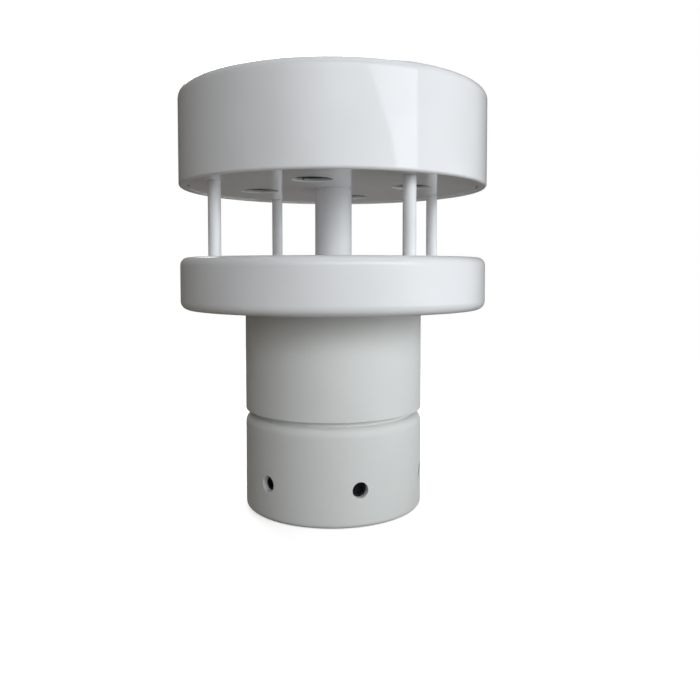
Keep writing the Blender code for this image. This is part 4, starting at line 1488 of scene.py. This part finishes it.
class SENSOR_OT_studio(bpy.types.Operator):
    """Set up the pale floor, the soft lights and the camera"""

    bl_idname = "sensor.studio"
    bl_label = "Studio"

    def execute(self, context):
        studio = context.scene.sensor_studio
        self.floor(studio)
        self.screen(studio)
        self.window(studio)
        self.lamp("top_light", (30, 0.25, 1.15), 0.9, studio.top_light)
        self.lamp("back_light", (192, 0.93, 0.92), 0.8, studio.back_light)
        self.room(context.scene, studio)
        self.camera(context.scene, studio)
        return {"FINISHED"}

    def floor(self, studio):
        """A pale floor that fades into the white behind it, and gives back less light than it shows."""
        fade_start, fade_end, floor_radius = 0.10, 0.50, 0.6

        def build(sheet):
            shown, bounced = sheet.add("ShaderNodeBsdfDiffuse"), sheet.add("ShaderNodeBsdfDiffuse")
            shown.inputs["Color"].default_value = (*studio.floor_pale, 1.0)
            bounced.inputs["Color"].default_value = (*studio.floor_bounce, 1.0)
            glow = sheet.add("ShaderNodeEmission")
            glow.inputs["Strength"].default_value = studio.floor_glow
            lit = sheet.add("ShaderNodeAddShader")
            sheet.join(shown.outputs[0], lit.inputs[0])
            sheet.join(glow.outputs[0], lit.inputs[1])
            seen = sheet.add("ShaderNodeLightPath").outputs["Is Camera Ray"]
            both = self.blend(sheet, seen, bounced.outputs[0], lit.outputs[0])
            away = sheet.add("ShaderNodeVectorMath", operation="LENGTH")
            sheet.join(sheet.object_place(), away.inputs[0])
            fade = sheet.ramp(away.outputs["Value"], fade_start, fade_end)
            return self.blend(sheet, fade, both, sheet.add("ShaderNodeBsdfTransparent").outputs[0])

        shape = bmesh.new()
        just_below = Matrix.Translation((0, 0, -0.05 * MM))
        bmesh.ops.create_circle(shape, cap_ends=True, segments=96, radius=floor_radius, matrix=just_below)
        floor = object_of("floor", shape)
        floor.data.materials.append(studio_shader("pale_floor", build))

    def blend(self, sheet, factor, first, second):
        node = sheet.add("ShaderNodeMixShader")
        for socket, target in zip((factor, first, second), node.inputs):
            sheet.join(socket, target)
        return node.outputs[0]

    def screen(self, studio):
        """A curved screen, bright before and to the right of the sensor and dim to its left.

        It is brighter above than below on the left, and the other way round on the right.
        """
        distance, low, high = 1.3, -9, 32
        shape = bmesh.new()
        columns = []
        for azimuth in range(-90, 141, 5):
            ends = [around(azimuth, distance, raised(distance, elevation)) for elevation in (low, high)]
            columns.append([shape.verts.new(place) for place in ends])
        for (foot, head), (next_foot, next_head) in zip(columns, columns[1:]):
            shape.faces.new((foot, next_foot, next_head, head))
        screen = object_of("screen", shape)

        def build(sheet):
            turned_round = sheet.add("ShaderNodeMapping")
            turned_round.inputs["Rotation"].default_value = (0, 0, -studio.camera_azimuth)
            sheet.join(sheet.object_place(), turned_round.inputs["Vector"])
            split = sheet.add("ShaderNodeSeparateXYZ")
            sheet.join(turned_round.outputs[0], split.inputs[0])
            ahead = sheet.maths("MULTIPLY", split.outputs["Y"], -1.0)
            azimuth = sheet.maths("ARCTAN2", split.outputs["X"], ahead)

            def across(start, end, at_start=0.0, at_end=1.0):
                """A ramp between two directions in degrees."""
                return sheet.ramp(azimuth, math.radians(start), math.radians(end), at_start, at_end)

            def upwards(at_foot, at_head):
                """A ramp from the screen's foot to near its head."""
                foot, head = raised(distance, low), raised(distance, 28)
                return sheet.ramp(split.outputs["Z"], foot, head, at_foot, at_head)

            rise, fall = across(-40, 2), across(70, 140, 1.0, 0.0)
            left, right, side = upwards(0.12, 1.5), upwards(1.1, 0.5), across(10, 60)
            change = sheet.maths("MULTIPLY", side, sheet.maths("SUBTRACT", right, left))
            leaning = sheet.maths("ADD", left, change)
            shape_of_light = sheet.maths("MULTIPLY", sheet.maths("MULTIPLY", rise, fall), leaning)
            glow = sheet.add("ShaderNodeEmission")
            strength = sheet.maths("MULTIPLY", shape_of_light, studio.screen_light)
            sheet.join(strength, glow.inputs["Strength"])
            tint = sheet.mix(across(-60, -10), tuple(studio.warm_light), tuple(studio.cool_light))
            sheet.join(tint, glow.inputs["Color"])
            return glow.outputs[0]

        screen.data.materials.append(studio_shader("screen_glow", build))
        screen.visible_camera = False

    def window(self, studio):
        """A brighter window in the screen: straight on its far side, slanted on its near side."""
        distance = 1.1
        corners = [(60.5, 5), (60.5, 25), (17, 25), (24, 18.5), (34, 14.6), (40, 12.8), (44.5, 9.5), (48, 5)]
        shape = bmesh.new()
        places = [around(azimuth, distance, raised(distance, elevation)) for azimuth, elevation in corners]
        shape.faces.new([shape.verts.new(place) for place in places])
        window = object_of("window_light", shape)

        def build(sheet):
            glow = sheet.add("ShaderNodeEmission")
            glow.inputs["Strength"].default_value = studio.window_light
            glow.inputs["Color"].default_value = (*studio.cool_light, 1.0)
            return glow.outputs[0]

        window.data.materials.append(studio_shader("window_glow", build))
        window.visible_camera = False

    def lamp(self, name, place, size, power):
        """A square soft light that points at the sensor."""
        light = bpy.data.lights.new(name, "AREA")
        light.size = size
        light.energy = power
        lamp = bpy.data.objects.new(name, light)
        lamp.location = around(*place)
        lamp_target = Vector((0, 0, 0.07))
        aim = lamp_target - lamp.location
        lamp.rotation_euler = aim.to_track_quat("-Z", "Y").to_euler()
        bpy.context.scene.collection.objects.link(lamp)

    def room(self, scene, studio):
        """Dim light from all round, with plain white where the camera looks past the sensor."""
        world = bpy.data.worlds.new("room")
        world.use_nodes = True
        world.node_tree.nodes.clear()
        sheet = Sheet(world.node_tree)
        dim, white = sheet.add("ShaderNodeBackground"), sheet.add("ShaderNodeBackground")
        warm_white = (1.0, 0.90, 0.82, 1.0)
        dim.inputs["Color"].default_value = warm_white
        dim.inputs["Strength"].default_value = studio.room_light
        white.inputs["Color"].default_value = (1.0, 1.0, 1.0, 1.0)
        seen = sheet.add("ShaderNodeLightPath").outputs["Is Camera Ray"]
        both = self.blend(sheet, seen, dim.outputs[0], white.outputs[0])
        sheet.join(both, sheet.add("ShaderNodeOutputWorld").inputs["Surface"])
        scene.world = world
        scene.view_settings.view_transform = "Standard"

    def camera(self, scene, studio):
        camera = bpy.data.cameras.new("camera")
        camera.sensor_width = 36.0
        camera.lens = studio.lens_mm
        camera.shift_y = studio.frame_shift
        camera.clip_start = 0.01
        obj = bpy.data.objects.new("camera", camera)
        turn = Matrix.Rotation(studio.camera_azimuth, 4, "Z")
        obj.location = turn @ Vector((studio.camera_offset, -studio.camera_distance, studio.camera_height))
        obj.rotation_euler = (math.radians(90) - studio.camera_tilt, 0, studio.camera_azimuth)
        scene.collection.objects.link(obj)
        scene.camera = obj


# ---------------------------------------------------------------- add-on

OPERATORS = (
    SENSOR_OT_collar,
    SENSOR_OT_grub_screws,
    SENSOR_OT_neck,
    SENSOR_OT_connector,
    SENSOR_OT_main_board,
    SENSOR_OT_neck_screws,
    SENSOR_OT_reflector,
    SENSOR_OT_posts,
    SENSOR_OT_center_tube,
    SENSOR_OT_head,
    SENSOR_OT_transducers,
    SENSOR_OT_head_electronics,
    SENSOR_OT_wire_harness,
    SENSOR_OT_studio,
)


class SENSOR_PT_panel(bpy.types.Panel):
    """Lists what builds the sensor, with its sizes, colours and studio"""

    bl_idname = "SENSOR_PT_panel"
    bl_label = "Wind sensor"
    bl_space_type = "VIEW_3D"
    bl_region_type = "UI"
    bl_category = "Wind sensor"

    def draw(self, context):
        for operator in OPERATORS:
            self.layout.operator(operator.bl_idname)
        scene = context.scene
        for settings in (scene.sensor_sizes, scene.sensor_colours, scene.sensor_studio):
            column = self.layout.column()
            for name in settings.bl_rna.properties.keys():
                if name not in ("rna_type", "name"):
                    column.prop(settings, name)


CLASSES = (SensorSizes, SensorColours, StudioSettings, *OPERATORS, SENSOR_PT_panel)


def register():
    for cls in CLASSES:
        bpy.utils.register_class(cls)
    bpy.types.Scene.sensor_sizes = PointerProperty(type=SensorSizes)
    bpy.types.Scene.sensor_colours = PointerProperty(type=SensorColours)
    bpy.types.Scene.sensor_studio = PointerProperty(type=StudioSettings)


def unregister():
    del bpy.types.Scene.sensor_studio
    del bpy.types.Scene.sensor_colours
    del bpy.types.Scene.sensor_sizes
    for cls in reversed(CLASSES):
        bpy.utils.unregister_class(cls)


def main():
    register()
    for operator in OPERATORS:
        family, name = operator.bl_idname.split(".")
        getattr(getattr(bpy.ops, family), name)()


if __name__ == "__main__":
    main()
